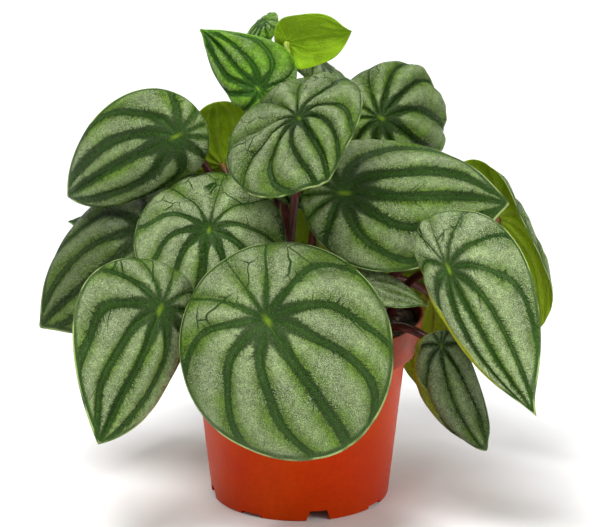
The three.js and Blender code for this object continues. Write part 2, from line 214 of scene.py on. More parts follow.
MATURE_LEAVES = {
    "front_round": Leaf((-15, -84, 116), -95, 57, 36, 111, 108, 0.355, 0.04, (35, 45, 40, 25), 2, (-100, 30),
                        35, 26, veins=5, beyond=0.3, tone=0.25, shade=0.97),
    "left_low": Leaf((-64, -66, 115), -62, 62, -36, 93, 76, 0.26, 0.42, (95, 20, 25, 25), 2, (-162, 34), 38,
                     24, arch=-10, curl=4, stripe=0.85, veins=5, rolled=0.12, tone=0.2, shade=0.98),
    "left_centre": Leaf((-43, -28, 142), -102, 54, -4, 75, 80, 0.45, 0.06, (35, 35, 40, 30), 2, (-128, 18),
                        45, 30, lean=-0.06, stripe=1.3, veins=5, beyond=0.25, tone=0.1, shade=1.15),
    "left_mid": Leaf((-73.5, -1, 132.5), -112, 58, -44, 95, 76, 0.28, 0.2, (60, 35, 15, 30), 2, (-162, 20),
                     40, 26, point=4, stripe=0.8, veins=5, tone=0.6, shade=0.52),
    "left_up": Leaf((-59, -7, 181.5), -108, 72, -61, 86, 60, 0.19, 0.2, (105, 12, 30, 30), 1.8, (-170, 10),
                    60, 30, point=2, veins=5, beyond=0.08, tone=0.5, shade=0.92),
    "centre_up": Leaf((-1, -44, 201.2), -130, 43, 66, 66, 75, 0.475, 0.04, (30, 15, 15, 15), 1.9, (-112, 10),
                      60, 10, point=4, lean=-0.14, bow=-9, quilt=3.4, stripe=1.3, veins=5, beyond=0.2,
                      tone=0.4, shade=0.84),
    "right_up": Leaf((39, 8, 186.5), -85, 66, 59, 73, 74, 0.34, 0.08, (50, 40, 80, 30), 1.8, (5, 9), 55, 26,
                     lean=0.16, quilt=4.2, stripe=1.1, veins=5, beyond=0.25, tone=0.65, shade=0.82),
    "right_big": Leaf((21, -34, 162), -84, 54, 87, 98, 75, 0.22, 0.2, (50, 25, 15, 30), 2, (-58, 13), 50, 26,
                      point=4, stripe=0.9, veins=5, beyond=0.06, tone=0.45, shade=0.95),
    "back_top": Leaf((10, 40, 206), 0, 34, 20, 56, 54, 0.36, 0.14, (35, 35, 40, 35), 1.8, (60, 13), 60, 24,
                     tone=0.5, shade=0.85),
    "right_far": Leaf((97.5, 27, 131), 65, 80, -24, 92, 64, 0.39, 0.16, (30, 80, 20, 20), 2, (20, 28), 40, 24,
                      point=2, tone=0.4, shade=0.85),
    "right_front": Leaf((68, -64, 134), -100, 62, 28, 103, 54, 0.29, 0.36, (15, 120, 12, 30), 2, (12, 42), 45,
                        24, curl=5, point=5, lean=0.3, bow=8, stripe=0.52, veins=5, rolled=-0.22, tone=0.05,
                        shade=1.1),
    "right_low": Leaf((66, -52, 92), -108, 74, 7, 55, 38, 0.15, 0, (30, 54, 15, 30), 2, (-40, 42), 36, 10,
                      arch=-6, point=4, lean=-0.2, bow=15, stripe=0.38, veins=4, rolled=-0.34, tone=0.1,
                      shade=0.45),
    "small_grey": Leaf((31, -46, 121.5), -70, 42, 62, 38, 19, 0.24, 0.3, (12, 12, 10, 20), 1.4, (-75, 20), 26,
                       12, point=3, stripe=0.06, veins=4, quilt=0.6, tone=0, shade=0.95),
    "right_back": Leaf((67, 36, 90), 50, 76, 10, 84, 62, 0.3, 0.2, (30, 30, 15, 20), 2, (38, 31), 36, 16,
                       arch=14, tone=0.4, shade=0.9),
    "under_centre": Leaf((-7, -3, 169.5), -80, 40, 22, 41, 33, 0.3, 0.2, (35, 35, 30, 30), 1.7, (-135, 12),
                         50, 20, tone=0.5, shade=0.9),
    "back_left_up": Leaf((-38, 22, 160), 108, 78, 170, 52, 46, 0.3, 0.05, (30, 30, 10, 20), 1.5, (150, 18),
                         40, 16, tone=0.6, shade=0.95),
    "left_far": Leaf((-79, 28, 132), 170, 12, 0, 56, 40, 0.36, 0.3, (35, 35, -10, 30), 2, (160, 23), 45, 26,
                     tone=0.2, shade=0.85),
    "back_high": Leaf((-14, 62, 174), 98, 36, 0, 74, 70, 0.32, 0.14, (35, 35, 35, 30), 2, (98, 17), 50, 26),
    "back_right_up": Leaf((54, 66, 152), 48, 50, 10, 84, 68, 0.3, 0.18, (35, 35, 35, 30), 2, (44, 20), 50, 26,
                          tone=0.3, shade=0.95),
    "back_left_mid": Leaf((-57, 74, 132), 136, 52, -10, 84, 72, 0.3, 0.16, (35, 35, 35, 30), 2, (133, 25), 50,
                          26, tone=0.2, shade=0.95),
    "back_mid": Leaf((10, 90, 126), 84, 62, -8, 92, 80, 0.3, 0.12, (35, 35, 35, 30), 2, (82, 27), 45, 26,
                     tone=0.3, shade=1),
    "back_low_right": Leaf((61, 74, 102), 58, 64, 10, 88, 70, 0.28, 0.22, (35, 35, 25, 30), 2, (62, 32), 35,
                           24, curl=3, tone=0.5),
    "back_low_left": Leaf((-40, 82, 100), 112, 64, -10, 88, 74, 0.3, 0.18, (35, 35, 25, 30), 2, (110, 32), 35,
                          24, curl=3, tone=0.25),
    "left_back_low": Leaf((-86, 30, 98), 162, 66, 0, 84, 66, 0.28, 0.2, (35, 35, 25, 30), 2, (174, 31), 35,
                          24, arch=6, tone=0.35, shade=0.85),
}

YOUNG_LEAVES = {
    "young_left": Leaf((-20, 0, 203), -85, 66, -140, 55, 41, 0.28, 0.5, (100, 15, 20, 30), 1.4, (172, 5), 60,
                       16, wave=0.8, point=2, lean=-0.17, stripe=0.9, veins=5, tone=0.5, shade=0.88),
    "young_top": Leaf((-6, 18, 221.5), 82, 72, -106, 38, 32, 0.16, 0.2, (75, 25, 10, 20), 1.3, (35, 6), 60,
                      12, wave=1, point=1, quilt=0.8, tone=1, shade=1),
    "young_back": Leaf((-18, 34, 227), -150, 40, -20, 27, 23, 0.3, 0.3, (50, 50, 50, 20), 1.1, (120, 11), 60,
                       14, quilt=0.6, tone=0.4, shade=0.9),
}


# Node trees

def arithmetic(operation, turned=False):
    """A method that adds the node of an operation. When turned, the other number comes first."""
    def method(self, other):
        items = (other, self) if turned else (self, other)
        return maths(self.tree, operation, *items)
    return method


class Value:
    """A number in a node tree. Arithmetic on it adds the nodes that work it out."""

    __add__ = arithmetic("ADD")
    __radd__ = arithmetic("ADD", turned=True)
    __sub__ = arithmetic("SUBTRACT")
    __rsub__ = arithmetic("SUBTRACT", turned=True)
    __mul__ = arithmetic("MULTIPLY")
    __rmul__ = arithmetic("MULTIPLY", turned=True)
    __truediv__ = arithmetic("DIVIDE")
    __rtruediv__ = arithmetic("DIVIDE", turned=True)
    __pow__ = arithmetic("POWER")
    __gt__ = arithmetic("GREATER_THAN")
    __lt__ = arithmetic("LESS_THAN")

    def __init__(self, tree, socket):
        self.tree = tree
        self.socket = socket

    def __neg__(self):
        return self * -1

    def __abs__(self):
        return maths(self.tree, "ABSOLUTE", self)


def feed(tree, entry, item):
    """Links a value or a socket to a node's input, or sets the input to a plain value."""
    if isinstance(item, Value):
        item = item.socket
    if isinstance(item, bpy.types.NodeSocket):
        tree.links.new(item, entry)
    else:
        entry.default_value = item


def in_use(sockets, label=None):
    """The first socket that the node's options leave in use, or the first of that name."""
    return next(socket for socket in sockets if socket.enabled and label in (None, socket.name))


def add(tree, kind, inputs=None, **options):
    """Adds a node with these options, and feeds its inputs by name."""
    node = tree.nodes.new(kind)
    for option, setting in options.items():
        setattr(node, option, setting)
    for label, item in (inputs or {}).items():
        feed(tree, in_use(node.inputs, label), item)
    return node


def maths(tree, operation, *items):
    """The result of an operation on these numbers."""
    node = add(tree, "ShaderNodeMath", operation=operation)
    for entry, item in zip(node.inputs, items):
        feed(tree, entry, item)
    return Value(tree, node.outputs[0])


def sine(value):
    return maths(value.tree, "SINE", value)


def cosine(value):
    return maths(value.tree, "COSINE", value)


def root(value):
    return maths(value.tree, "SQRT", value)


def bearing(beside, ahead):
    return maths(beside.tree, "ARCTAN2", beside, ahead)


def at_least(value, least):
    return maths(value.tree, "MAXIMUM", value, least)


def at_most(value, most):
    return maths(value.tree, "MINIMUM", value, most)


def ramp(value, low, high, start=0.0, end=1.0):
    """Goes smoothly from start, where the value is low, to end, where it is high."""
    node = add(value.tree, "ShaderNodeMapRange", interpolation_type="SMOOTHSTEP")
    for entry, item in zip(node.inputs, (value, low, high, start, end)):
        feed(value.tree, entry, item)
    return Value(value.tree, node.outputs["Result"])


def parts_of(tree, vector):
    """The three numbers in a vector."""
    node = add(tree, "ShaderNodeSeparateXYZ", {"Vector": vector})
    return [Value(tree, socket) for socket in node.outputs]


def vector_of(tree, x, y, z):
    return add(tree, "ShaderNodeCombineXYZ", {"X": x, "Y": y, "Z": z}).outputs["Vector"]


def noise(tree, vector, scale=1.0, detail=2.0, roughness=0.5):
    node = add(tree, "ShaderNodeTexNoise",
               {"Vector": vector, "Scale": scale, "Detail": detail, "Roughness": roughness})
    return Value(tree, node.outputs[0])


def blade_noise(u, v, scale, seed, detail=1.0):
    """A pattern that lies on the blade and differs from leaf to leaf."""
    return noise(u.tree, vector_of(u.tree, u * scale, v * scale, seed), detail=detail)


def cells(tree, vector, scale=1.0, feature="F1"):
    """The distance to the middle of the nearest of a field of uneven cells, or to the feature named."""
    node = add(tree, "ShaderNodeTexVoronoi", {"Vector": vector, "Scale": scale}, feature=feature)
    return Value(tree, node.outputs["Distance"])


def mixed(tree, share, low, high):
    """A colour between two colours."""
    low, high = (item if isinstance(item, bpy.types.NodeSocket) else (*item, 1.0) for item in (low, high))
    node = add(tree, "ShaderNodeMix", {"Factor": share, "A": low, "B": high}, data_type="RGBA")
    return in_use(node.outputs)


def stretched(tree, vector, factors):
    """A vector with each of its numbers multiplied by its own factor."""
    return vector_of(tree, *(part * factor for part, factor in zip(parts_of(tree, vector), factors)))


def scaled(tree, vector, factor):
    """A vector made longer or shorter, or a colour made lighter or darker."""
    node = add(tree, "ShaderNodeVectorMath", {"Vector": vector, "Scale": factor}, operation="SCALE")
    return node.outputs["Vector"]


def new_tree(name, entries):
    """A geometry tree with these named inputs, given as (name, kind) pairs, and what comes in by each."""
    tree = bpy.data.node_groups.new(name, "GeometryNodeTree")
    tree.interface.new_socket("Geometry", in_out="OUTPUT", socket_type="NodeSocketGeometry")
    for label, kind in entries:
        tree.interface.new_socket(label, in_out="INPUT", socket_type="NodeSocket" + kind)
    source = tree.nodes.new("NodeGroupInput")
    return tree, {label: Value(tree, source.outputs[label]) for label, kind in entries}


def close_tree(tree, geometry, material):
    """Ends a tree: everything in it becomes one mesh with one material."""
    whole = add(tree, "GeometryNodeRealizeInstances", {"Geometry": geometry})
    painted = add(tree, "GeometryNodeSetMaterial", {"Geometry": whole.outputs[0], "Material": material})
    end = tree.nodes.new("NodeGroupOutput")
    tree.links.new(painted.outputs[0], end.inputs[0])


def with_attribute(tree, geometry, name, kind, value):
    """Stores a value on each of the geometry's points."""
    node = add(tree, "GeometryNodeStoreNamedAttribute", {"Geometry": geometry, "Name": name, "Value": value},
               data_type=kind, domain="POINT")
    return node.outputs[0]


def moved(tree, geometry, offset):
    return add(tree, "GeometryNodeSetPosition", {"Geometry": geometry, "Offset": offset}).outputs[0]


def placed(tree, geometry, place):
    return add(tree, "GeometryNodeSetPosition", {"Geometry": geometry, "Position": place}).outputs[0]


def point_place(tree):
    """Where each of the geometry's points is."""
    return add(tree, "GeometryNodeInputPosition").outputs[0]


def merged(tree, geometry):
    """Joins the points that lie on one spot."""
    return add(tree, "GeometryNodeMergeByDistance", {"Geometry": geometry, "Distance": 0.000001}).outputs[0]


def joined(tree, *geometries):
    node = tree.nodes.new("GeometryNodeJoinGeometry")
    for geometry in geometries:
        tree.links.new(geometry, node.inputs[0])
    return node.outputs[0]


def flipped(tree, mesh):
    return add(tree, "GeometryNodeFlipFaces", {"Mesh": mesh}).outputs[0]


def smoothed(tree, geometry):
    return add(tree, "GeometryNodeSetShadeSmooth", {"Geometry": geometry}).outputs[0]


def grown(name, tree, values, start=None):
    """Runs a tree on a mesh, or on nothing, and gives the result as an object with a plain mesh."""
    piece = bpy.data.objects.new(name, start or bpy.data.meshes.new(name))
    bpy.context.scene.collection.objects.link(piece)
    modifier = piece.modifiers.new(tree.name, "NODES")
    modifier.node_group = tree
    identifiers = {item.name: item.identifier for item in tree.interface.items_tree if item.in_out == "INPUT"}
    for label, value in values.items():
        modifier[identifiers[label]] = value
    depsgraph = bpy.context.evaluated_depsgraph_get()
    mesh = bpy.data.meshes.new_from_object(
        piece.evaluated_get(depsgraph), preserve_all_data_layers=True, depsgraph=depsgraph)
    piece.modifiers.remove(modifier)
    piece.data = mesh
    mesh.name = name
    if not mesh.polygons:
        raise RuntimeError(f"{name} came out empty")
    return piece


def hand_over(piece, slot, *nodes):
    """Attaches a finished piece to the root body, and hides the model's nodes that it stands in for."""
    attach(piece, "root")
    if nodes:
        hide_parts(*nodes)


def new_material(name):
    """A material with its node tree and its surface shader."""
    material = bpy.data.materials.new(name)
    material.use_nodes = True
    tree = material.node_tree
    return material, tree, tree.nodes["Principled BSDF"]


def object_place(tree):
    return add(tree, "ShaderNodeTexCoord").outputs["Object"]


def attribute(tree, name):
    """A number that the mesh stores at each point."""
    return Value(tree, add(tree, "ShaderNodeAttribute", attribute_name=name).outputs["Fac"])


def attribute_parts(tree, name):
    """The three numbers of a vector that the mesh stores at each point."""
    return parts_of(tree, add(tree, "ShaderNodeAttribute", attribute_name=name).outputs["Vector"])


def coat(tree, shader, inputs):
    """Sets or feeds the shader's own inputs."""
    for label, item in inputs.items():
        feed(tree, shader.inputs[label], item)


def bumped(tree, height, strength, distance):
    bump = add(tree, "ShaderNodeBump", {"Height": height, "Strength": strength, "Distance": distance})
    return bump.outputs["Normal"]


# Leaf shape

def leaf_axes(leaf):
    """The blade's own axes: along the midrib to the tip, across to its left, and up out of its face."""
    b, tilt, turn = (math.radians(angle) for angle in (leaf.faces, leaf.tilt, leaf.turn))
    up = Vector((math.cos(b) * math.sin(tilt), math.sin(b) * math.sin(tilt), math.cos(tilt)))
    down = Vector((math.cos(b) * math.cos(tilt), math.sin(b) * math.cos(tilt), -math.sin(tilt)))
    level = up.cross(down)
    along = down * math.cos(turn) + level * math.sin(turn)
    return along, up.cross(along), up


class Veins(NamedTuple):
    """Where a point lies among the stripes, with all lengths in lengths of the blade's front.

    number: the stripes' number there, which is a whole number on a stripe. nearest: the nearest stripe's.
    gap: from one stripe to the next. distance: to the nearest. from_stalk and to_tip: to the stripes' two
    ends. progress: the place along the stripes.
    """

    number: Value
    nearest: Value
    gap: Value
    distance: Value
    from_stalk: Value
    to_tip: Value
    progress: Value


def vein_field(u, v, stripes, beyond, seed):
    """The stripes at a point that is u ahead of the stalk's end and v to its left."""
    tree = u.tree
    # The midrib wanders between its ends
    wander = noise(tree, vector_of(tree, u * 1.7, seed, 0.0), detail=0.0) - 0.5
    aside = v + wander * at_least(u * (1 - u), 0.0) * 0.5
    beside = at_least(abs(aside), 0.0001)
    left = beyond + 1 - u
    from_stalk = at_least(root(u * u + aside * aside), 0.001)
    to_tip = at_least(root(left * left + aside * aside), 0.001)
    arc = (bearing(beside, u) + bearing(beside, left)) / math.pi
    # The stripes sway a little off their arcs
    sway = blade_noise(u, v, 1.8, seed, detail=0.0) - 0.5
    sway = sway * 0.16 * ramp(from_stalk, 0.0, 0.5) * ramp(arc, 0.0, 0.25) * ramp(arc, 0.8, 1.0, 1.0, 0.0)
    arc = arc + sway
    number = stripes * arc * (MIDRIB_DENSITY + (1 - MIDRIB_DENSITY) * arc)
    nearest = maths(tree, "ROUND", number)
    spread = (beyond + 1) * stripes * (MIDRIB_DENSITY + 2 * (1 - MIDRIB_DENSITY) * arc)
    gap = math.pi * from_stalk * to_tip / spread
    progress = maths(tree, "LOGARITHM", from_stalk / to_tip, math.e)
    return Veins(number, nearest, gap, abs(number - nearest) * gap, from_stalk, to_tip, progress)


BLADE_INPUTS = (
    ("Length", "Float"), ("Width", "Float"), ("Heel", "Float"), ("Taper", "Float"), ("Left bend", "Float"),
    ("Right bend", "Float"), ("Tip bend", "Float"), ("Heel bend", "Float"), ("Tip curl", "Float"),
    ("Margin wave", "Float"), ("Wave start", "Float"), ("Tip point", "Float"), ("Lean", "Float"),
    ("Bow", "Float"), ("Quilting", "Float"), ("Dimple", "Float"), ("Thickness", "Float"), ("Lines", "Int"),
    ("Rings", "Int"), ("Seed", "Float"), ("Tone", "Vector"), ("Stripes", "Vector"), ("Beyond", "Float"),
    ("At", "Vector"), ("Lie", "Rotation"), ("Material", "Material"),
)


def bent_blade(tree, given):
    """A grid rolled into the blade's outline and bent both ways. It stores where on it each point is."""
    grid = add(tree, "GeometryNodeMeshGrid",
               {"Size X": 1.0, "Size Y": 1.0, "Vertices X": given["Lines"], "Vertices Y": given["Rings"]})
    x, y, _ = parts_of(tree, point_place(tree))
    turn = (x + 0.5) * TAU
    even = y + 0.5
    share = even * (1 - RING_CROWDING) + sine(even * (math.pi / 2)) * RING_CROWDING
    length, width, heel, taper = (given[label] for label in ("Length", "Width", "Heel", "Taper"))
    front = length * (1 - heel)
    back = length * heel

    # The outline, laid flat
    peak = 0.5 / (1 + taper)
    widest = 2 * root(peak) * (1 - peak) ** (taper + 0.5)
    narrowing = ((1 - cosine(turn)) / 2) ** taper / widest
    point = given["Tip point"] * share ** 3 * at_least(cosine(turn), 0.0) ** POINT_SHARPNESS
    ahead = share * length * ((1 + cosine(turn)) / 2 - heel) + point
    half_width = width / 2 * (1 + given["Lean"] * maths(tree, "SIGN", sine(turn)))
    aside = share * half_width * sine(turn) * narrowing

    # Its bends, curl and wave
    before = ahead > 0
    end_arc = back / given["Heel bend"] + before * (front / given["Tip bend"] - back / given["Heel bend"])
    on_left = aside > 0
    side_bend = given["Right bend"] + on_left * (given["Left bend"] - given["Right bend"])
    side_arc = width / 2 / side_bend
    slope = ahead / end_arc
    curl = given["Tip curl"] * at_least((ahead / front - TIP_CURL_FROM) / (1 - TIP_CURL_FROM), 0.0) ** 2
    wave = given["Margin wave"] * share ** 2 * sine(turn * WAVES_ROUND + given["Wave start"])
    sag = side_arc * (1 - cosine(aside / side_arc)) - curl - wave
    place = vector_of(
        tree,
        end_arc * sine(slope) - sag * sine(slope),
        side_arc * sine(aside / side_arc) + given["Bow"] * (ahead / front) ** 2,
        end_arc * (cosine(slope) - 1) - sag * cosine(slope))

    # Where each point lies among the stripes
    u = share * (1 + cosine(turn) - heel * 2) / (2 - heel * 2)
    to_end = (1 - heel) * at_least(1 - u, 0.0001)
    v = share * sine(turn) * ((1 - cosine(turn)) / 2 / to_end) ** taper / (2 - heel * 2)
    squeeze = half_width * 2 / length * to_end ** taper / widest
    fit = vector_of(tree, given["Beyond"], at_least(squeeze, 0.3), 0.0)
    spot = vector_of(tree, u, v, share)
    blade = with_attribute(tree, grid.outputs["Mesh"], "leaf_place", "FLOAT_VECTOR", spot)
    blade = with_attribute(tree, blade, "stripe_fit", "FLOAT_VECTOR", fit)
    return flipped(tree, merged(tree, placed(tree, blade, place)))


def swelling(tree, given, u, v, share):
    """How far the blade swells out of its face between the stripes, and sinks over the stalk."""
    _, stripes, _ = parts_of(tree, given["Stripes"])
    veins = vein_field(u, v, stripes, given["Beyond"], given["Seed"])
    across = at_most(abs(veins.number - veins.nearest) * 2, 1.0)
    pucker = blade_noise(u, v, 6, given["Seed"]) + 0.5
    pillow = across * (2 - across) * pucker * at_most(veins.gap / FULL_GAP, 1.0)
    swell = given["Quilting"] * (pillow * ramp(share, 0.84, 1.0, 1.0, 0.3) - VALLEY_SHARE)
    return swell - given["Dimple"] * ramp(veins.from_stalk, 0.0, 0.16, 1.0, 0.0)


def blade_tree():
    """A leaf blade: bent to its shape, quilted between its stripes and thickened to a rounded margin."""
    tree, given = new_tree("Leaf blade", BLADE_INPUTS)
    bent = bent_blade(tree, given)
    stored = add(tree, "GeometryNodeInputNamedAttribute", {"Name": "leaf_place"}, data_type="FLOAT_VECTOR")
    u, v, share = parts_of(tree, in_use(stored.outputs))
    outward = add(tree, "GeometryNodeInputNormal").outputs["Normal"]
    quilted = moved(tree, bent, scaled(tree, outward, swelling(tree, given, u, v, share)))
    half = given["Thickness"] / 2 * root(at_least(1 - share ** MARGIN_ROUNDING, 0.0))
    upper = moved(tree, quilted, scaled(tree, outward, half))
    upper = with_attribute(tree, upper, "leaf_side", "FLOAT", 1.0)
    lower = moved(tree, quilted, scaled(tree, outward, -half))
    lower = with_attribute(tree, lower, "leaf_side", "FLOAT", 0.0)
    blade = merged(tree, joined(tree, upper, flipped(tree, lower)))
    blade = with_attribute(tree, blade, "leaf_tone", "FLOAT_VECTOR", given["Tone"])
    blade = with_attribute(tree, blade, "leaf_stripes", "FLOAT_VECTOR", given["Stripes"])
    seated = add(tree, "GeometryNodeTransform",
                 {"Geometry": blade, "Translation": given["At"], "Rotation": given["Lie"]})
    close_tree(tree, smoothed(tree, seated.outputs[0]), given["Material"])
    return tree


STALK_INPUTS = (
    ("Foot", "Vector"), ("Foot handle", "Vector"), ("End handle", "Vector"), ("End", "Vector"),
    ("Joint", "Vector"), ("Radius", "Float"), ("Sides", "Int"), ("Steps", "Int"), ("Material", "Material"),
)


def stalk_tree():
    """A leaf's stalk: a round tube on a curve, a little thicker at its foot, with its joint's swelling."""
    tree, given = new_tree("Leaf stalk", STALK_INPUTS)
    line = add(tree, "GeometryNodeCurvePrimitiveBezierSegment", {
        "Resolution": given["Steps"], "Start": given["Foot"], "Start Handle": given["Foot handle"],
        "End Handle": given["End handle"], "End": given["End"]})
    share = Value(tree, add(tree, "GeometryNodeSplineParameter").outputs["Factor"])
    marked = with_attribute(tree, line.outputs[0], "stalk_share", "FLOAT", share)
    section = add(tree, "GeometryNodeCurvePrimitiveCircle", {"Resolution": given["Sides"], "Radius": 1.0})
    unevenness = noise(tree, point_place(tree), STALK_KNOTS) - 0.5
    thickness = given["Radius"] * (ramp(share, 0.0, 0.5, 1.12, 0.96) + unevenness * 0.16)
    tube = add(tree, "GeometryNodeCurveToMesh", {
        "Curve": marked, "Profile Curve": section.outputs[0], "Scale": thickness, "Fill Caps": True})
    ball = add(tree, "GeometryNodeMeshIcoSphere",
               {"Radius": given["Radius"] * JOINT_SWELL, "Subdivisions": 4})
    ball = with_attribute(tree, ball.outputs[0], "stalk_share", "FLOAT", 1.0)
    seated = add(tree, "GeometryNodeTransform", {"Geometry": ball, "Translation": given["Joint"]})
    stalk = joined(tree, tube.outputs[0], seated.outputs[0])
    close_tree(tree, smoothed(tree, stalk), given["Material"])
    return tree


def dimple_depth(leaf):
    """Depth of the dimple over the stalk, in millimetres."""
    return DIMPLE * leaf.length / 100


def grow_blade(tree, name, leaf, seed, settings, material, slot):
    left, right, tip, heel = (math.radians(bend) for bend in leaf.bend)
    lie = Matrix(leaf_axes(leaf)).transposed().to_euler()
    piece = grown(f"leaf_blade_{name}", tree, {
        "Length": leaf.length * MM, "Width": leaf.width * MM, "Heel": leaf.heel, "Taper": leaf.taper,
        "Left bend": left, "Right bend": right, "Tip bend": tip, "Heel bend": heel,
        "Tip curl": leaf.curl * MM, "Margin wave": leaf.wave * MM,
        "Wave start": float(leaf.length), "Tip point": leaf.point * MM,
        "Lean": float(leaf.lean), "Bow": leaf.bow * MM, "Quilting": leaf.quilt * MM,
        "Dimple": dimple_depth(leaf) * MM, "Thickness": BLADE_THICKNESS * MM,
        "Lines": settings.lines, "Rings": settings.rings, "Seed": float(seed),
        "Tone": (leaf.tone, leaf.shade, float(seed)),
        "Stripes": (STRIPE_WIDTH * leaf.stripe, float(leaf.veins), float(leaf.rolled)), "Beyond": leaf.beyond,
        "At": [c * MM for c in leaf.at], "Lie": tuple(lie), "Material": material,
    })
    hand_over(piece, slot, f"blade_{name}")


def grow_blades(leaves, first_seed, settings, material, slot):
    tree = blade_tree()
    for seed, (name, leaf) in enumerate(leaves.items(), first_seed):
        grow_blade(tree, name, leaf, seed, settings, material, slot)


def grow_stalk(tree, name, leaf, settings, material, slot):
    angle = math.radians(leaf.root[0])
    outward = Vector((math.cos(angle), math.sin(angle), 0))
    foot = outward * leaf.root[1] + Vector((0, 0, SOIL_TOP - ROOT_DEPTH))
    foot_handle = foot + (outward * 0.3 + Vector((0, 0, 1))).normalized() * leaf.rise
    _, _, up = leaf_axes(leaf)
    underside = dimple_depth(leaf) + VALLEY_SHARE * leaf.quilt + BLADE_THICKNESS / 2
    end = Vector(leaf.at) - up * (underside + STALK_GAP)
    end_handle = end - up * leaf.reach + Vector((0, 0, leaf.arch))
    joint = Vector(leaf.at) - up * (underside + leaf.stalk * JOINT_SWELL - JOINT_BITE)
    piece = grown(f"leaf_stalk_{name}", tree, {
        "Foot": foot * MM, "Foot handle": foot_handle * MM, "End handle": end_handle * MM, "End": end * MM,
        "Joint": joint * MM, "Radius": leaf.stalk * MM, "Sides": settings.sides, "Steps": settings.steps,
        "Material": material,
    })
    hand_over(piece, slot, f"petiole_{name}")


# Leaf finishes

def barbs(tree, veins, flank, seed, lean, count, breadth):
    """Barbs along a stripe's flank: 1 in the middle of each and 0 past its breadth. They lean towards the
    tip, and count of them stand on each step of the stripe's progress.
    """
    along = (veins.progress - veins.distance * lean) * count
    return at_least(1 - cells(tree, vector_of(tree, along, flank, seed)) / breadth, 0.0)


def stripe_mask(tree, veins, u, v, seed, full):
    """The dark stripes: wide near the midrib and thin behind the stalk, with a fringe of fine teeth, a few
    long spurs that point to the tip, and a dark patch where they meet. full is half the widest's width.
    """
    own = veins.nearest * 2 + (v > 0)
    outer = veins.number > veins.nearest
    flank = own * 2 + outer
    # Half the stripe's width
    vigour = noise(tree, vector_of(tree, own * 3.7, seed * 1.3, 0.0), detail=0.0)
    width = full * ramp(veins.nearest, 2.0, 5.0, 1.0, 0.16) * (1.1 - at_most(veins.nearest, 3.0) * 0.08)
    width = width * ramp(vigour, 0.3, 0.7, 0.8, 1.15)
    width = width * ramp(veins.to_tip, 0.0, 0.4, 0.35, 1.0) * ramp(veins.from_stalk, 0.0, 0.3, 0.7, 1.0)
    patch = full * ramp(veins.from_stalk, 0.03, 0.32, 1.7, 0.0) * ramp(u, -0.14, 0.05, 0.4, 1.0)
    width = width + patch

    # How far the barbs reach out of it
    patchy = blade_noise(u, v, 5, seed + 2)
    teeth = barbs(tree, veins, flank * 3.7, seed, lean=2, count=40, breadth=0.55)
    spurs = barbs(tree, veins, flank * 5.3, seed + 3, lean=6, count=8, breadth=0.16)
    rungs = barbs(tree, veins, flank * 4.1, seed + 5, lean=1, count=15, breadth=0.22)
    fringe = teeth * ramp(patchy, 0.35, 0.6, 0.008, 0.032) * ramp(u, -0.4, 0.0, 0.25, 1.0)
    fringe = fringe + spurs * 0.08 * ramp(u, -0.2, 0.0)
    fringe = fringe + rungs * outer * (veins.nearest > 0.5) * ramp(patchy, 0.42, 0.55) * 0.09
    frayed = veins.distance - fringe * ramp(width, 0.0, full * 0.5)
    soft = ramp(veins.from_stalk, 0.05, 0.3, 0.025, 0.006)
    return ramp(frayed, width - soft, width + soft, 1.0, 0.0)


def thin_veins(tree, veins, u, v, share, seed):
    """Fine veins that join the thin stripes behind the stalk and near the margin."""
    bend = blade_noise(u, v, 6, seed) * 0.12
    net = cells(tree, vector_of(tree, (u + bend) * 3.8, (v + bend) * 3.8, seed), feature="DISTANCE_TO_EDGE")
    some = blade_noise(u, v, 3, seed + 4)
    outer = ramp(veins.number, 2.4, 3.4) * ramp(share, 0.35, 0.6)
    return ramp(net, 0.009, 0.024, 1.0, 0.0) * outer * ramp(some, 0.4, 0.52, 0.1, 1.0)


def margin_colour(tree, body, looks, u, v, share, seed, rolled, grain):
    """Adds the green band and the pale edge along the margin, the yellow spot and, on some leaves, the strip
    of the margin that is rolled over.
    """
    uneven = blade_noise(u, v, 4, seed + 6)
    body = mixed(tree, ramp(share, *MARGIN_BAND) * ramp(uneven, 0.3, 0.6, 0.6, 1.0), body, looks.margin)
    yellow = root((u / SPOT_LENGTH) ** 2 + (v / SPOT_WIDTH) ** 2)
    body = mixed(tree, ramp(yellow, 0.0, 1.4, 0.9, 0.0), body, looks.spot)
    body = mixed(tree, ramp(share, *EDGE_BAND) * ramp(uneven, 0.4, 0.56, 0.05, 1.0), body, looks.edge)
    on_its_side = v * rolled > 0
    start = 1.01 - (abs(rolled) + 0.01) * ramp(u, -0.3, 0.1) * ramp(u, 0.45, 0.95, 1.0, 0.0)
    strip = ramp(share, start - 0.012, start + 0.012) * on_its_side
    fold = ramp(abs(share - start), 0.004, 0.02, 1.0, 0.0) * on_its_side
    body = mixed(tree, strip, body, scaled(tree, looks.rolled, ramp(grain, 0.3, 0.7, 0.85, 1.15)))
    return mixed(tree, fold * 0.6, body, looks.edge)


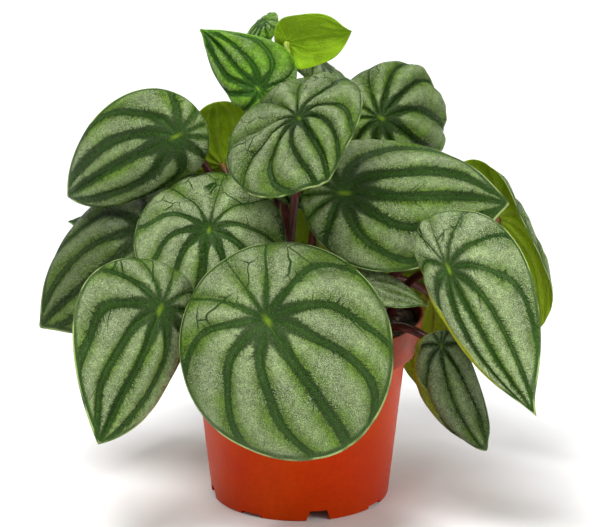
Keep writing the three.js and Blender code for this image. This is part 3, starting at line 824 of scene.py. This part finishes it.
def blade_finish(name, looks, gloss):
    """The skin of a blade: dark feathered stripes on silver green, a few thin veins, a green band inside a
    pale edge, the yellow spot over the stalk, a rolled strip on some margins, and a plainer underside.
    """
    material, tree, shader = new_material(name)
    u, v, share = attribute_parts(tree, "leaf_place")
    green, shade, seed = attribute_parts(tree, "leaf_tone")
    full, stripes, rolled = attribute_parts(tree, "leaf_stripes")
    beyond, squeeze, _ = attribute_parts(tree, "stripe_fit")
    side = attribute(tree, "leaf_side")
    veins = vein_field(u, v, stripes, beyond, seed)
    veins = veins._replace(distance=veins.distance * (1 + ramp(u, -0.3, 0.2) * (squeeze - 1)))
    place = object_place(tree)
    grain = noise(tree, place, SKIN_GRAIN, detail=2.0, roughness=0.65)
    speck = noise(tree, place, SKIN_SPECK, detail=1.0)
    cloud = noise(tree, place, SKIN_CLOUD, detail=2.0)
    patches = blade_noise(u, v, 3, seed + 9, detail=2.0) - 0.5
    glossy = blade_noise(u, v, 2.5, seed + 12)

    # The skin between the stripes
    between = at_most(abs(veins.number - veins.nearest) * 2, 1.0)
    greenness = green + patches * 1.3 + ramp(share, 0.75, 1.0, 0.0, 0.3)
    greenness = greenness + ramp(veins.number, 0.4, 1.3, 0.25, 0.0)
    # Greener towards the stripes: partly the skin's own colour, partly painted shade in the hollows along
    # them
    greenness = greenness + ramp(between, 0.25, 0.9, 0.55, -0.2)
    body = mixed(tree, ramp(greenness, 0.0, 1.2), looks.silver, looks.green)
    body = scaled(tree, body, ramp(grain, 0.28, 0.72, 0.55, 1.5) * ramp(cloud, 0.3, 0.7, 0.84, 1.16))
    # Painted shade and light: darker in the hollows along the stripes, lighter on the swelling between them
    body = scaled(tree, body, ramp(between, 0.1, 0.95, 0.74, 1.14))
    # Painted glints: pale specks laid on the skin in glossy patches, in place of light caught by its raised
    # cells
    painted_glint = ramp(noise(tree, place, SKIN_PAINTED_GLINT, detail=1.0), 0.54, 0.66) * ramp(glossy, 0.48, 0.6)
    body = mixed(tree, painted_glint * 0.75, body, looks.painted_glint)

    # Stripes and thin veins, which the plainest leaf goes without, and the margin
    marked = ramp(full, 0.003, 0.012)
    stripe = stripe_mask(tree, veins, u, v, seed, full) * marked
    core = ramp(veins.distance / full, 0.1, 0.8, 1.35, 0.8)
    deep = scaled(tree, looks.stripe, ramp(grain, 0.3, 0.75, 0.65, 1.5) * core)
    thread = thin_veins(tree, veins, u, v, share, seed)
    body = mixed(tree, thread * marked, body, looks.stripe)
    body = mixed(tree, stripe * ramp(grain, 0.2, 0.55, 0.72, 0.97), body, deep)
    body = scaled(tree, body, ramp(speck, 0.34, 0.66, 0.62, 1.42))
    body = margin_colour(tree, body, looks, u, v, share, seed, rolled, grain)
    # Each leaf's brightness: partly its own tone, partly painted shade on leaves that hang in shadow
    body = scaled(tree, body, shade)

    # The underside and the relief
    rib = ramp(veins.distance, 0.0, 0.022, 1.0, 0.0)
    beneath = mixed(tree, rib * 0.2, looks.under, looks.under_vein)
    beneath = scaled(tree, beneath, ramp(grain, 0.3, 0.7, 0.85, 1.15) * (patches * 0.5 + 1))
    relief = grain * ramp(glossy, 0.4, 0.6, 0.8, 2.2) + cloud - thread * 0.5 - stripe * 0.5
    coat(tree, shader, {
        "Base Color": mixed(tree, ramp(side, 0.35, 0.65), beneath, body),
        "Roughness": ramp(cloud, 0.3, 0.7, gloss - 0.08, gloss + 0.08) + (1 - side) * 0.15,
        "Specular IOR Level": 0.34, "Specular Tint": (0.85, 1, 0.6, 1),
        "Subsurface Weight": 0.08, "Subsurface Radius": (0.5, 1.0, 0.2), "Subsurface Scale": 0.002,
        "Normal": bumped(tree, relief, 0.8, 0.0009),
    })
    return material


def stalk_finish(name, lower, upper, fleck):
    """The skin of a stalk: flecked, with fine lengthwise shading, and paler where it meets the blade."""
    material, tree, shader = new_material(name)
    share = attribute(tree, "stalk_share")
    place = object_place(tree)
    streaks = noise(tree, stretched(tree, place, STALK_STREAKS), detail=3.0)
    flecks = noise(tree, place, STALK_FLECKS, detail=1.0)
    colour = mixed(tree, ramp(share, 0.8, 1.0, 0.0, 0.8), lower, upper)
    colour = scaled(tree, colour, ramp(streaks, 0.3, 0.7, 0.65, 1.45))
    coat(tree, shader, {
        "Base Color": mixed(tree, ramp(flecks, 0.6, 0.72, 0.0, 0.55), colour, fleck),
        "Roughness": ramp(streaks, 0.3, 0.7, 0.3, 0.46), "Specular IOR Level": 0.3,
        "Normal": bumped(tree, streaks + flecks * 0.5, 0.25, 0.0003),
    })
    return material


# Pot and soil

def rounded(corners, steps=5):
    """A profile with its corners rounded. Each corner is (radius from the axis, height, rounding)."""
    points = []
    for i, (r, z, fillet) in enumerate(corners):
        here = Vector((r, z))
        if fillet == 0:
            points.append(here)
            continue
        before = Vector(corners[i - 1][:2]) - here
        after = Vector(corners[(i + 1) % len(corners)][:2]) - here
        reach = min(fillet, before.length / 2, after.length / 2)
        start = here + before.normalized() * reach
        end = here + after.normalized() * reach
        for step in range(steps + 1):
            t = step / steps
            points.append(start * (1 - t) ** 2 + here * 2 * t * (1 - t) + end * t ** 2)
    return points


def turned_mesh(name, profile, sectors):
    """A closed mesh from a profile in millimetres, which starts and ends on the axis it is turned round."""
    vertices = [(0, 0, profile[0].y * MM), (0, 0, profile[-1].y * MM)]
    for point in profile[1:-1]:
        for i in range(sectors):
            angle = TAU * i / sectors
            vertices.append((point.x * math.cos(angle) * MM, point.x * math.sin(angle) * MM, point.y * MM))
    rings = len(profile) - 2

    def at(ring, i):
        return 2 + ring * sectors + i % sectors

    faces = []
    for i in range(sectors):
        faces.append((0, at(0, i + 1), at(0, i)))
        faces.append((1, at(rings - 1, i), at(rings - 1, i + 1)))
        for ring in range(rings - 1):
            faces.append((at(ring, i), at(ring, i + 1), at(ring + 1, i + 1), at(ring + 1, i)))
    mesh = bpy.data.meshes.new(name)
    mesh.from_pydata(vertices, [], faces)
    mesh.validate()
    return mesh


def pot_profile():
    inner_top = RIM_RADIUS - WALL
    inner_collar = COLLAR_FOOT_RADIUS - WALL
    inner_wall = WALL_TOP_RADIUS - WALL
    inner_base = BASE_RADIUS - WALL + FLOOR_FLARE
    ledge = COLLAR_FOOT_Z + WALL
    return rounded([
        (0, FLOOR_Z, 0), (BASE_RADIUS - FOOT_RING, FLOOR_Z, 0.8), (BASE_RADIUS - FOOT_RING, 0, 0.5),
        (BASE_RADIUS, 0, 0.9), (WALL_TOP_RADIUS, COLLAR_FOOT_Z, 0.6),
        (COLLAR_FOOT_RADIUS, COLLAR_FOOT_Z, 0.9), (RIM_RADIUS, POT_HEIGHT, 0.8),
        (inner_top, POT_HEIGHT, 0.5), (inner_collar, ledge, 1.2), (inner_wall, ledge, 1.2),
        (inner_base, FLOOR_Z + FLOOR, 2.5), (0, FLOOR_Z + FLOOR, 0),
    ])


FOOT_INPUTS = (
    ("Geometry", "Geometry"), ("Notches", "Int"), ("First notch", "Float"), ("Foot radius", "Float"),
    ("Deep size", "Vector"), ("Deep top", "Float"), ("Shallow size", "Vector"), ("Shallow top", "Float"),
    ("Hole radius", "Float"), ("Hole ring", "Float"), ("Hole depth", "Float"), ("Floor height", "Float"),
    ("Material", "Material"),
)


def ring_of(tree, shape, count, radius, first, height):
    """Copies of a shape on a level ring, each turned to face out."""
    circle = add(tree, "GeometryNodeMeshCircle", {"Vertices": count, "Radius": radius})
    aim = add(tree, "FunctionNodeAlignRotationToVector", {"Vector": point_place(tree)}, axis="X")
    copies = add(tree, "GeometryNodeInstanceOnPoints",
                 {"Points": circle.outputs[0], "Instance": shape, "Rotation": aim.outputs[0]})
    ring = add(tree, "GeometryNodeTransform", {
        "Geometry": copies.outputs[0], "Rotation": vector_of(tree, 0.0, 0.0, first),
        "Translation": vector_of(tree, 0.0, 0.0, height)})
    return add(tree, "GeometryNodeRealizeInstances", {"Geometry": ring.outputs[0]}).outputs[0]


def wedge(tree, size, top):
    """A block that narrows to its top. size: its depth, its mouth's width, its height above and below."""
    cube = add(tree, "GeometryNodeMeshCube", {"Size": size})
    x, y, z = parts_of(tree, point_place(tree))
    _, mouth, _ = parts_of(tree, size)
    return placed(tree, cube.outputs[0], vector_of(tree, x, y * (1 + (z > 0) * (top / mouth - 1)), z))


def foot_tree():
    """Cuts the notches, deep and shallow by turns, and the drain holes into the pot's foot."""
    tree, given = new_tree("Pot foot", FOOT_INPUTS)
    count, first, radius = (given[label] for label in ("Notches", "First notch", "Foot radius"))
    deep = ring_of(tree, wedge(tree, given["Deep size"], given["Deep top"]), count / 2, radius, first, 0.0)
    shallow = ring_of(tree, wedge(tree, given["Shallow size"], given["Shallow top"]), count / 2, radius,
                      first + TAU / count, 0.0)
    hole = add(tree, "GeometryNodeMeshCylinder",
               {"Vertices": DRAIN_SIDES, "Radius": given["Hole radius"], "Depth": given["Hole depth"]})
    holes = ring_of(tree, hole.outputs["Mesh"], count, given["Hole ring"], first, given["Floor height"])
    body = given["Geometry"].socket
    for cutter in (deep, shallow, holes):
        cut = add(tree, "GeometryNodeMeshBoolean", operation="DIFFERENCE", solver="EXACT")
        tree.links.new(body, cut.inputs["Mesh 1"])
        tree.links.new(cutter, cut.inputs["Mesh 2"])
        body = cut.outputs["Mesh"]
    close_tree(tree, body, given["Material"])
    return tree


def pot_finish(settings):
    """Moulded plastic: faint turning lines, a mottled gloss, a dusting of dry soil, a paler rim top that is
    partly wear and partly a painted highlight, a darker inside towards the soil, and painted shade over the
    collar.
    """
    material, tree, shader = new_material("orange_plastic")
    place = object_place(tree)
    x, y, z = parts_of(tree, place)
    cloud = noise(tree, place, PLASTIC_CLOUD, detail=3.0)
    fine = noise(tree, place, PLASTIC_GRAIN, detail=3.0, roughness=0.65)
    lines = noise(tree, stretched(tree, place, PLASTIC_LINES), detail=2.0)
    # Pattern of the dust, which also makes the painted shade over the collar uneven
    dust_and_shade = noise(tree, place, PLASTIC_DUST_AND_SHADE, detail=5.0, roughness=0.7)
    out = root(x * x + y * y)
    inner = RIM_RADIUS - WALL
    lip = ramp(z, (POT_HEIGHT - 1.4) * MM, POT_HEIGHT * MM) * ramp(out, (inner - 1) * MM, inner * MM)
    colour = mixed(tree, ramp(cloud, 0.3, 0.7), settings.colour, settings.deep_colour)
    colour = scaled(tree, colour, ramp(fine, 0.3, 0.7, 0.93, 1.06))
    # The rim's top is painted paler: partly wear, partly a painted highlight along it
    colour = mixed(tree, lip * ramp(fine, 0.35, 0.7, 0.1, 0.6), colour, settings.lip_wear_and_highlight_colour)
    colour = mixed(tree, ramp(dust_and_shade, 0.6, 0.78, 0.0, 0.14), colour, settings.dust_colour)
    # The inside of the wall above the soil darkens towards the soil, to near black where it meets it
    flare = (RIM_RADIUS - COLLAR_FOOT_RADIUS) / (POT_HEIGHT - COLLAR_FOOT_Z)
    inside = out < (z - POT_HEIGHT * MM) * flare + (RIM_RADIUS - WALL / 2) * MM
    inner_darkening = ramp(z, (POT_HEIGHT - 1) * MM, SOIL_TOP * MM, 0.25, 0.9) * ramp(dust_and_shade, 0.35, 0.6, 0.6, 1.0)
    colour = mixed(tree, inside * (z > COLLAR_FOOT_Z * MM) * inner_darkening, colour, settings.stain_and_shade_colour)
    # Painted shade: from the collar's foot up, the plastic is darkened in place of the shadow that the leaves
    # cast on the collar
    painted_collar_shade = ramp(z, (COLLAR_FOOT_Z - 2) * MM, (COLLAR_FOOT_Z + 3) * MM) * ramp(dust_and_shade, 0.3, 0.6, 0.35, 0.62)
    coat(tree, shader, {
        "Base Color": mixed(tree, painted_collar_shade, colour, settings.stain_and_shade_colour),
        "Roughness": ramp(fine, 0.3, 0.7, 0.36, 0.5) + ramp(dust_and_shade, 0.55, 0.8, 0.0, 0.15),
        "Specular IOR Level": 0.16, "Specular Tint": (1, 0.45, 0.2, 1),
        "Normal": bumped(tree, lines * 0.6 + fine * 0.4, 0.12, 0.0004),
    })
    return material


def soil_finish(name, dark, brown, spread):
    """Damp compost: dark crumbs with browner bits, which cover more of it with a wider spread."""
    material, tree, shader = new_material(name)
    place = object_place(tree)
    lumps = noise(tree, place, SOIL_CLODS, detail=4.0, roughness=0.7)
    specks = cells(tree, place, SOIL_SPECKS)
    colour = mixed(tree, ramp(lumps, 0.4 - spread, 0.72), dark, brown)
    coat(tree, shader, {
        "Base Color": scaled(tree, colour, ramp(specks, 0.0, 0.7, 1.3, 0.7)),
        "Roughness": ramp(lumps, 0.3, 0.7, 0.98, 0.7),
        "Normal": bumped(tree, lumps + specks, 0.7, 0.001),
    })
    return material


def soil_edge():
    """Radius of the soil's top in millimetres, which follows the flare of the pot's collar."""
    flare = (RIM_RADIUS - COLLAR_FOOT_RADIUS) / (POT_HEIGHT - SOIL_LEDGE)
    return SOIL_COLLAR_RADIUS + (SOIL_TOP - 2 * SOIL_RELIEF - SOIL_LEDGE) * flare


def soil_profile():
    bottom = FLOOR_Z + FLOOR + SOIL_CLEARANCE
    base = BASE_RADIUS - WALL + FLOOR_FLARE - SOIL_CLEARANCE - 2 * SOIL_SLACK
    wall = WALL_TOP_RADIUS - WALL - SOIL_CLEARANCE - SOIL_SLACK
    top = [(soil_edge() * (1 - i / SOIL_RINGS), SOIL_TOP) for i in range(SOIL_RINGS)]
    corners = [(0, bottom), (base, bottom), (wall, SOIL_LEDGE - SOIL_STEP), (SOIL_COLLAR_RADIUS, SOIL_LEDGE),
               *top, (0, SOIL_TOP)]
    return [Vector(corner) for corner in corners]


BED_INPUTS = (
    ("Geometry", "Geometry"), ("Level", "Float"), ("Relief", "Float"), ("Lumps", "Float"),
    ("Material", "Material"),
)


def bed_tree():
    """Roughens the soil's top into lumps and hollows."""
    tree, given = new_tree("Soil bed", BED_INPUTS)
    place = point_place(tree)
    x, y, z = parts_of(tree, place)
    on_top = z > given["Level"] - 0.00001
    swell = sine(x * 310 + 1.3) * cosine(y * 270) + sine(x * 130 - y * 430) * 0.6
    lumps = noise(tree, place, SOIL_LUMPS, detail=4.0, roughness=0.62) - 0.5
    offset = on_top * (swell * given["Relief"] + lumps * given["Lumps"])
    raised = moved(tree, given["Geometry"], vector_of(tree, 0.0, 0.0, offset))
    close_tree(tree, smoothed(tree, raised), given["Material"])
    return tree


CRUMB_INPUTS = (
    ("Geometry", "Geometry"), ("Level", "Float"), ("Reach", "Float"), ("Density", "Float"),
    ("Smallest", "Float"), ("Largest", "Float"), ("Fibre density", "Float"), ("Fibre length", "Float"),
    ("Seed", "Int"), ("Material", "Material"),
)


def scattered(tree, surface, selection, shape, density, low, high, seed, tip):
    """Copies of a shape at random on a surface, sized at random, turned any way and tipped by up to tip."""
    points = add(tree, "GeometryNodeDistributePointsOnFaces",
                 {"Mesh": surface, "Selection": selection, "Density": density, "Seed": seed})
    turns = {"Min": (-tip, -tip, 0.0), "Max": (tip, tip, TAU), "Seed": TURN_SEED}
    turn = add(tree, "FunctionNodeRandomValue", turns, data_type="FLOAT_VECTOR")
    sizes = {"Min": low, "Max": high, "Seed": SIZE_SEED}
    size = add(tree, "FunctionNodeRandomValue", sizes, data_type="FLOAT_VECTOR")
    copies = add(tree, "GeometryNodeInstanceOnPoints", {
        "Points": points.outputs["Points"], "Instance": shape, "Rotation": turn.outputs[0],
        "Scale": size.outputs[0]})
    return copies.outputs[0]


def fibre_shape(tree):
    """A bent, round fibre of unit length."""
    arc = add(tree, "GeometryNodeCurvePrimitiveBezierSegment", {
        "Resolution": 7, "Start": (-0.5, 0.0, -0.02), "Start Handle": (-0.2, 0.22, 0.05),
        "End Handle": (0.2, -0.2, 0.07), "End": (0.5, 0.05, -0.02)})
    section = add(tree, "GeometryNodeCurvePrimitiveCircle", {"Resolution": 5, "Radius": 0.018})
    return add(tree, "GeometryNodeCurveToMesh", {
        "Curve": arc.outputs[0], "Profile Curve": section.outputs[0], "Fill Caps": True}).outputs[0]


def crumb_tree():
    """Crumbs and fibres that lie on the soil."""
    tree, given = new_tree("Soil crumbs", CRUMB_INPUTS)
    x, y, z = parts_of(tree, point_place(tree))
    on_top = (z > given["Level"] - CRUMB_DEPTH * MM) * (root(x * x + y * y) < given["Reach"])
    low, high, size = (given[label] for label in ("Smallest", "Largest", "Fibre length"))
    crumb = add(tree, "GeometryNodeMeshIcoSphere", {"Radius": 1.0, "Subdivisions": 2})
    crumbs = scattered(tree, given["Geometry"], on_top, crumb.outputs[0], given["Density"],
                       vector_of(tree, low, low, low), vector_of(tree, high, high, high * CRUMB_FLATNESS),
                       given["Seed"], math.pi)
    least = size * SHORTEST_FIBRE
    fibres = scattered(tree, given["Geometry"], on_top, fibre_shape(tree), given["Fibre density"],
                       vector_of(tree, least, least, least), vector_of(tree, size, size, size),
                       given["Seed"] + 1, FIBRE_TIP)
    close_tree(tree, joined(tree, crumbs, fibres), given["Material"])
    return tree


# Settings

def length_setting(name, words, millimetres):
    return FloatProperty(
        name=name, description=words, default=millimetres * MM, subtype="DISTANCE", unit="LENGTH")


def colour_setting(name, words, colour):
    return FloatVectorProperty(name=name, description=words, default=colour, subtype="COLOR", min=0, max=1)


class PotSettings(bpy.types.PropertyGroup):
    """Sizes and colours of the pot."""

    deep_notch: length_setting("Deep notch", "Height of the deep notches in the foot", 5.3)
    shallow_notch: length_setting("Shallow notch", "Height of the shallow notches in the foot", 1.7)
    sectors: IntProperty(name="Sectors", description="Steps round the pot", default=256, min=32)
    colour: colour_setting("Colour", "Main colour of the plastic", (0.52, 0.042, 0.0005))
    deep_colour: colour_setting("Deep colour", "Colour of its deeper clouds", (0.47, 0.026, 0.001))
    # Paler top of the rim: partly wear, partly a painted highlight
    lip_wear_and_highlight_colour: colour_setting("Lip colour", "Colour of the worn top of the rim", (0.62, 0.3, 0.22))
    dust_colour: colour_setting("Dust colour", "Colour of the dry soil on it", (0.3, 0.16, 0.09))
    # Darkens the inside of the wall towards the soil, and is the painted shade over the collar in place of
    # the leaves' shadow
    stain_and_shade_colour: colour_setting("Stain colour", "Colour of the damp soil inside", (0.035, 0.018, 0.012))


class SoilSettings(bpy.types.PropertyGroup):
    """Sizes and colours of the soil."""

    lumps: length_setting("Lumps", "Height of the soil's lumps", 3.2)
    crumb_density: FloatProperty(name="Crumb density", description="Crumbs on a square metre", default=150000)
    smallest: length_setting("Smallest crumb", "Radius of the smallest crumb", 0.35)
    largest: length_setting("Largest crumb", "Radius of the largest crumb", 1.5)
    fibre_density: FloatProperty(name="Fibre density", description="Fibres on a square metre", default=26000)
    fibre_length: length_setting("Fibre length", "Length of the longest fibre", 13)
    dark_colour: colour_setting("Dark colour", "Colour of damp soil", (0.028, 0.017, 0.011))
    brown_colour: colour_setting("Brown colour", "Colour of its dry bits", (0.11, 0.062, 0.038))
    fibre_colour: colour_setting("Fibre colour", "Colour of crumbs and fibres", (0.24, 0.15, 0.09))


class BladeSettings(bpy.types.PropertyGroup):
    """Detail and colours of the grown blades."""

    lines: IntProperty(name="Lines", description="Lines from the stalk to the margin", default=129, min=17)
    rings: IntProperty(name="Rings", description="Steps from the stalk to the margin", default=36, min=6)
    silver: colour_setting("Silver", "Colour between the stripes", (0.17, 0.222, 0.1))
    green: colour_setting("Green", "Greener colour between the stripes", (0.088, 0.168, 0.012))
    stripe: colour_setting("Stripe", "Colour of the stripes", (0.009, 0.038, 0.001))
    margin: colour_setting("Margin", "Colour of the band along the margin", (0.02, 0.062, 0.004))
    # Colour of the painted glints, which stand in for light caught by the skin's raised cells
    painted_glint: colour_setting("Glint", "Colour of the cells that catch the light", (0.46, 0.52, 0.36))
    edge: colour_setting("Edge", "Colour of the very edge", (0.36, 0.46, 0.16))
    spot: colour_setting("Spot", "Colour of the spot over the stalk", (0.16, 0.26, 0.008))
    rolled: colour_setting("Rolled margin", "Colour of a margin that is rolled over", (0.3, 0.33, 0.015))
    under: colour_setting("Underside", "Colour of the underside", (0.24, 0.38, 0.004))
    under_vein: colour_setting("Underside veins", "Colour of the veins on the underside", (0.3, 0.22, 0.08))


class YoungSettings(bpy.types.PropertyGroup):
    """Detail and colours of the young blades."""

    lines: IntProperty(name="Lines", description="Lines from the stalk to the margin", default=129, min=17)
    rings: IntProperty(name="Rings", description="Steps from the stalk to the margin", default=32, min=6)
    silver: colour_setting("Silver", "Colour between the stripes", (0.115, 0.24, 0.018))
    green: colour_setting("Green", "Greener colour between the stripes", (0.085, 0.21, 0.004))
    stripe: colour_setting("Stripe", "Colour of the stripes", (0.013, 0.075, 0.001))
    margin: colour_setting("Margin", "Colour of the band along the margin", (0.1, 0.27, 0.01))
    # Colour of the painted glints, which stand in for light caught by the skin's raised cells
    painted_glint: colour_setting("Glint", "Colour of the cells that catch the light", (0.46, 0.52, 0.36))
    edge: colour_setting("Edge", "Colour of the very edge", (0.3, 0.5, 0.1))
    spot: colour_setting("Spot", "Colour of the spot over the stalk", (0.25, 0.45, 0.02))
    rolled: colour_setting("Rolled margin", "Colour of a margin that is rolled over", (0.3, 0.45, 0.02))
    under: colour_setting("Underside", "Colour of the underside", (0.24, 0.42, 0.005))
    under_vein: colour_setting("Underside veins", "Colour of the veins on the underside", (0.14, 0.34, 0.01))


class StalkSettings(bpy.types.PropertyGroup):
    """Detail and colours of the stalks."""

    sides: IntProperty(name="Sides", description="Steps round a stalk", default=18, min=6)
    steps: IntProperty(name="Steps", description="Steps along a stalk", default=60, min=8)
    red: colour_setting("Red", "Colour of a grown leaf's stalk", (0.06, 0.01, 0.008))
    red_end: colour_setting("Red end", "Its colour under the blade", (0.2, 0.1, 0.03))
    red_fleck: colour_setting("Red fleck", "Colour of its flecks", (0.15, 0.035, 0.022))
    green: colour_setting("Green", "Colour of a young leaf's stalk", (0.2, 0.26, 0.04))
    green_end: colour_setting("Green end", "Its colour under the blade", (0.3, 0.42, 0.04))
    green_fleck: colour_setting("Green fleck", "Colour of its flecks", (0.22, 0.1, 0.04))


class StageSettings(bpy.types.PropertyGroup):
    """Light and floor."""

    floor_colour: colour_setting("Floor", "Colour of the floor", (0.9, 0.9, 0.9))
    sky: FloatProperty(name="Sky", description="Brightness of the light from all round", default=0.36, min=0)
    key: FloatProperty(name="Key", description="Power of the large lamp above", default=56, unit="POWER")
    side: FloatProperty(name="Side", description="Power of the lamp on the right", default=8, unit="POWER")
    behind: FloatProperty(name="Behind", description="Power of the lamp behind", default=16, unit="POWER")


# Operators

class PEPEROMIA_OT_pot(bpy.types.Operator):
    """Turns the nursery pot and cuts its foot"""

    bl_idname = "peperomia.pot"
    bl_label = "Pot"

    def execute(self, context):
        settings = context.scene.peperomia_pot
        mesh = turned_mesh("pot_shell", pot_profile(), settings.sectors)
        depth = 4 * FOOT_RING * MM  # passes right through the foot ring
        pot = grown("nursery_pot", foot_tree(), {
            "Notches": NOTCH_COUNT, "First notch": math.radians(NOTCH_FIRST - 90),
            "Foot radius": (BASE_RADIUS - FOOT_RING / 2) * MM,
            "Deep size": (depth, DEEP_MOUTH * MM, 2 * settings.deep_notch), "Deep top": DEEP_TOP * MM,
            "Shallow size": (depth, SHALLOW_MOUTH * MM, 2 * settings.shallow_notch),
            "Shallow top": SHALLOW_TOP * MM, "Hole radius": DRAIN_RADIUS * MM, "Hole ring": DRAIN_RING * MM,
            "Hole depth": CUT_DEPTH * MM, "Floor height": (FLOOR_Z + FLOOR / 2) * MM,
            "Material": pot_finish(settings),
        }, mesh)
        pot.data.shade_smooth()
        pot.data.set_sharp_from_angle(angle=math.radians(SHARP_ANGLE))
        hand_over(pot, "pot_plastic", "pot")
        return {"FINISHED"}


class PEPEROMIA_OT_soil(bpy.types.Operator):
    """Fills the pot with compost and scatters crumbs and fibres on it"""

    bl_idname = "peperomia.soil"
    bl_label = "Soil"

    def execute(self, context):
        settings = context.scene.peperomia_soil
        mesh = turned_mesh("soil_shell", soil_profile(), SOIL_SECTORS)
        bed = grown("soil_bed", bed_tree(), {
            "Level": SOIL_TOP * MM, "Relief": SOIL_RELIEF * MM, "Lumps": settings.lumps,
            "Material": soil_finish("damp_compost", settings.dark_colour, settings.brown_colour, spread=0.0),
        }, mesh)
        crumbs = grown("soil_crumbs", crumb_tree(), {
            "Level": SOIL_TOP * MM, "Reach": soil_edge() * MM - settings.fibre_length / 2,
            "Density": settings.crumb_density, "Smallest": settings.smallest, "Largest": settings.largest,
            "Fibre density": settings.fibre_density, "Fibre length": settings.fibre_length,
            "Seed": CRUMB_SEED,
            "Material": soil_finish("compost_bits", settings.dark_colour, settings.fibre_colour, spread=0.2),
        }, bed.data.copy())
        hand_over(bed, "soil", "soil")
        hand_over(crumbs, "soil")
        return {"FINISHED"}


class PEPEROMIA_OT_grown_blades(bpy.types.Operator):
    """Grows the blades of the grown leaves"""

    bl_idname = "peperomia.grown_blades"
    bl_label = "Grown blades"

    def execute(self, context):
        settings = context.scene.peperomia_blades
        material = blade_finish("striped_blade", settings, gloss=0.3)
        grow_blades(MATURE_LEAVES, GROWN_SEED, settings, material, "mature_blade")
        return {"FINISHED"}


class PEPEROMIA_OT_young_blades(bpy.types.Operator):
    """Grows the blades of the young leaves at the top"""

    bl_idname = "peperomia.young_blades"
    bl_label = "Young blades"

    def execute(self, context):
        settings = context.scene.peperomia_young
        material = blade_finish("young_blade", settings, gloss=0.28)
        grow_blades(YOUNG_LEAVES, YOUNG_SEED, settings, material, "young_blade")
        return {"FINISHED"}


class PEPEROMIA_OT_stalks(bpy.types.Operator):
    """Grows a stalk from the soil to every blade"""

    bl_idname = "peperomia.stalks"
    bl_label = "Stalks"

    def execute(self, context):
        settings = context.scene.peperomia_stalks
        tree = stalk_tree()
        red = stalk_finish("red_stalk_skin", settings.red, settings.red_end, settings.red_fleck)
        green = stalk_finish("green_stalk_skin", settings.green, settings.green_end, settings.green_fleck)
        for name, leaf in MATURE_LEAVES.items():
            grow_stalk(tree, name, leaf, settings, red, "red_stalk")
        for name, leaf in YOUNG_LEAVES.items():
            grow_stalk(tree, name, leaf, settings, green, "green_stalk")
        return {"FINISHED"}


class PEPEROMIA_OT_stage(bpy.types.Operator):
    """Sets the floor, the light and the camera"""

    bl_idname = "peperomia.stage"
    bl_label = "Stage"

    def execute(self, context):
        settings = context.scene.peperomia_stage
        scene = context.scene
        self.lay_floor(scene, settings)
        self.hang_lamp(scene, "lamp_above", settings.key, *LAMP_ABOVE)
        self.hang_lamp(scene, "lamp_right", settings.side, *LAMP_RIGHT)
        self.hang_lamp(scene, "lamp_behind", settings.behind, *LAMP_BEHIND)
        world = bpy.data.worlds.new("studio_light")
        world.use_nodes = True
        sky = world.node_tree.nodes["Background"]
        sky.inputs["Color"].default_value = (1, 1, 1, 1)
        sky.inputs["Strength"].default_value = settings.sky
        scene.world = world
        scene.view_settings.view_transform = "Standard"
        camera = bpy.data.objects.new("camera", bpy.data.cameras.new("camera"))
        camera.data.lens = CAMERA_LENS
        camera.data.sensor_width = CAMERA_SENSOR
        camera.location = CAMERA_PLACE
        camera.rotation_euler = (math.radians(90 - CAMERA_DIP), 0, 0)
        scene.collection.objects.link(camera)
        scene.camera = camera
        return {"FINISHED"}

    def lay_floor(self, scene, settings):
        half = FLOOR_SIZE / 2
        mesh = bpy.data.meshes.new("floor")
        corners = [(-half, -half, 0), (half, -half, 0), (half, half, 0), (-half, half, 0)]
        mesh.from_pydata(corners, [], [(0, 1, 2, 3)])
        material, tree, shader = new_material("pale_floor")
        grain = noise(tree, object_place(tree), FLOOR_GRAIN)
        colour = scaled(tree, settings.floor_colour, ramp(grain, 0.2, 0.8, 0.985, 1.0))
        coat(tree, shader, {"Base Color": colour, "Roughness": 0.75})
        mesh.materials.append(material)
        floor = bpy.data.objects.new("floor", mesh)
        scene.collection.objects.link(floor)

    def hang_lamp(self, scene, name, power, size, place, aim):
        light = bpy.data.lights.new(name, "AREA")
        light.energy = power
        light.size = size
        lamp = bpy.data.objects.new(name, light)
        lamp.location = place
        lamp.rotation_euler = (Vector(aim) - Vector(place)).to_track_quat("-Z", "Y").to_euler()
        scene.collection.objects.link(lamp)


class PEPEROMIA_PT_panel(bpy.types.Panel):
    """Lists the pieces of the plant"""

    bl_idname = "PEPEROMIA_PT_panel"
    bl_label = "Potted Peperomia"
    bl_space_type = "VIEW_3D"
    bl_region_type = "UI"
    bl_category = "Peperomia"

    def draw(self, context):
        for operator in OPERATORS:
            self.layout.operator(operator.bl_idname)


OPERATORS = (
    PEPEROMIA_OT_pot,
    PEPEROMIA_OT_soil,
    PEPEROMIA_OT_grown_blades,
    PEPEROMIA_OT_young_blades,
    PEPEROMIA_OT_stalks,
    PEPEROMIA_OT_stage,
)
SETTINGS = {
    "peperomia_pot": PotSettings,
    "peperomia_soil": SoilSettings,
    "peperomia_blades": BladeSettings,
    "peperomia_young": YoungSettings,
    "peperomia_stalks": StalkSettings,
    "peperomia_stage": StageSettings,
}


def register():
    for name, group in SETTINGS.items():
        bpy.utils.register_class(group)
        setattr(bpy.types.Scene, name, PointerProperty(type=group))
    for operator in OPERATORS:
        bpy.utils.register_class(operator)
    bpy.utils.register_class(PEPEROMIA_PT_panel)


def unregister():
    bpy.utils.unregister_class(PEPEROMIA_PT_panel)
    for operator in reversed(OPERATORS):
        bpy.utils.unregister_class(operator)
    for name, group in SETTINGS.items():
        delattr(bpy.types.Scene, name)
        bpy.utils.unregister_class(group)


def main():
    register()
    bpy.ops.peperomia.stage()
    bpy.ops.peperomia.pot()
    bpy.ops.peperomia.soil()
    bpy.ops.peperomia.grown_blades()
    bpy.ops.peperomia.young_blades()
    bpy.ops.peperomia.stalks()


if __name__ == "__main__":
    main()
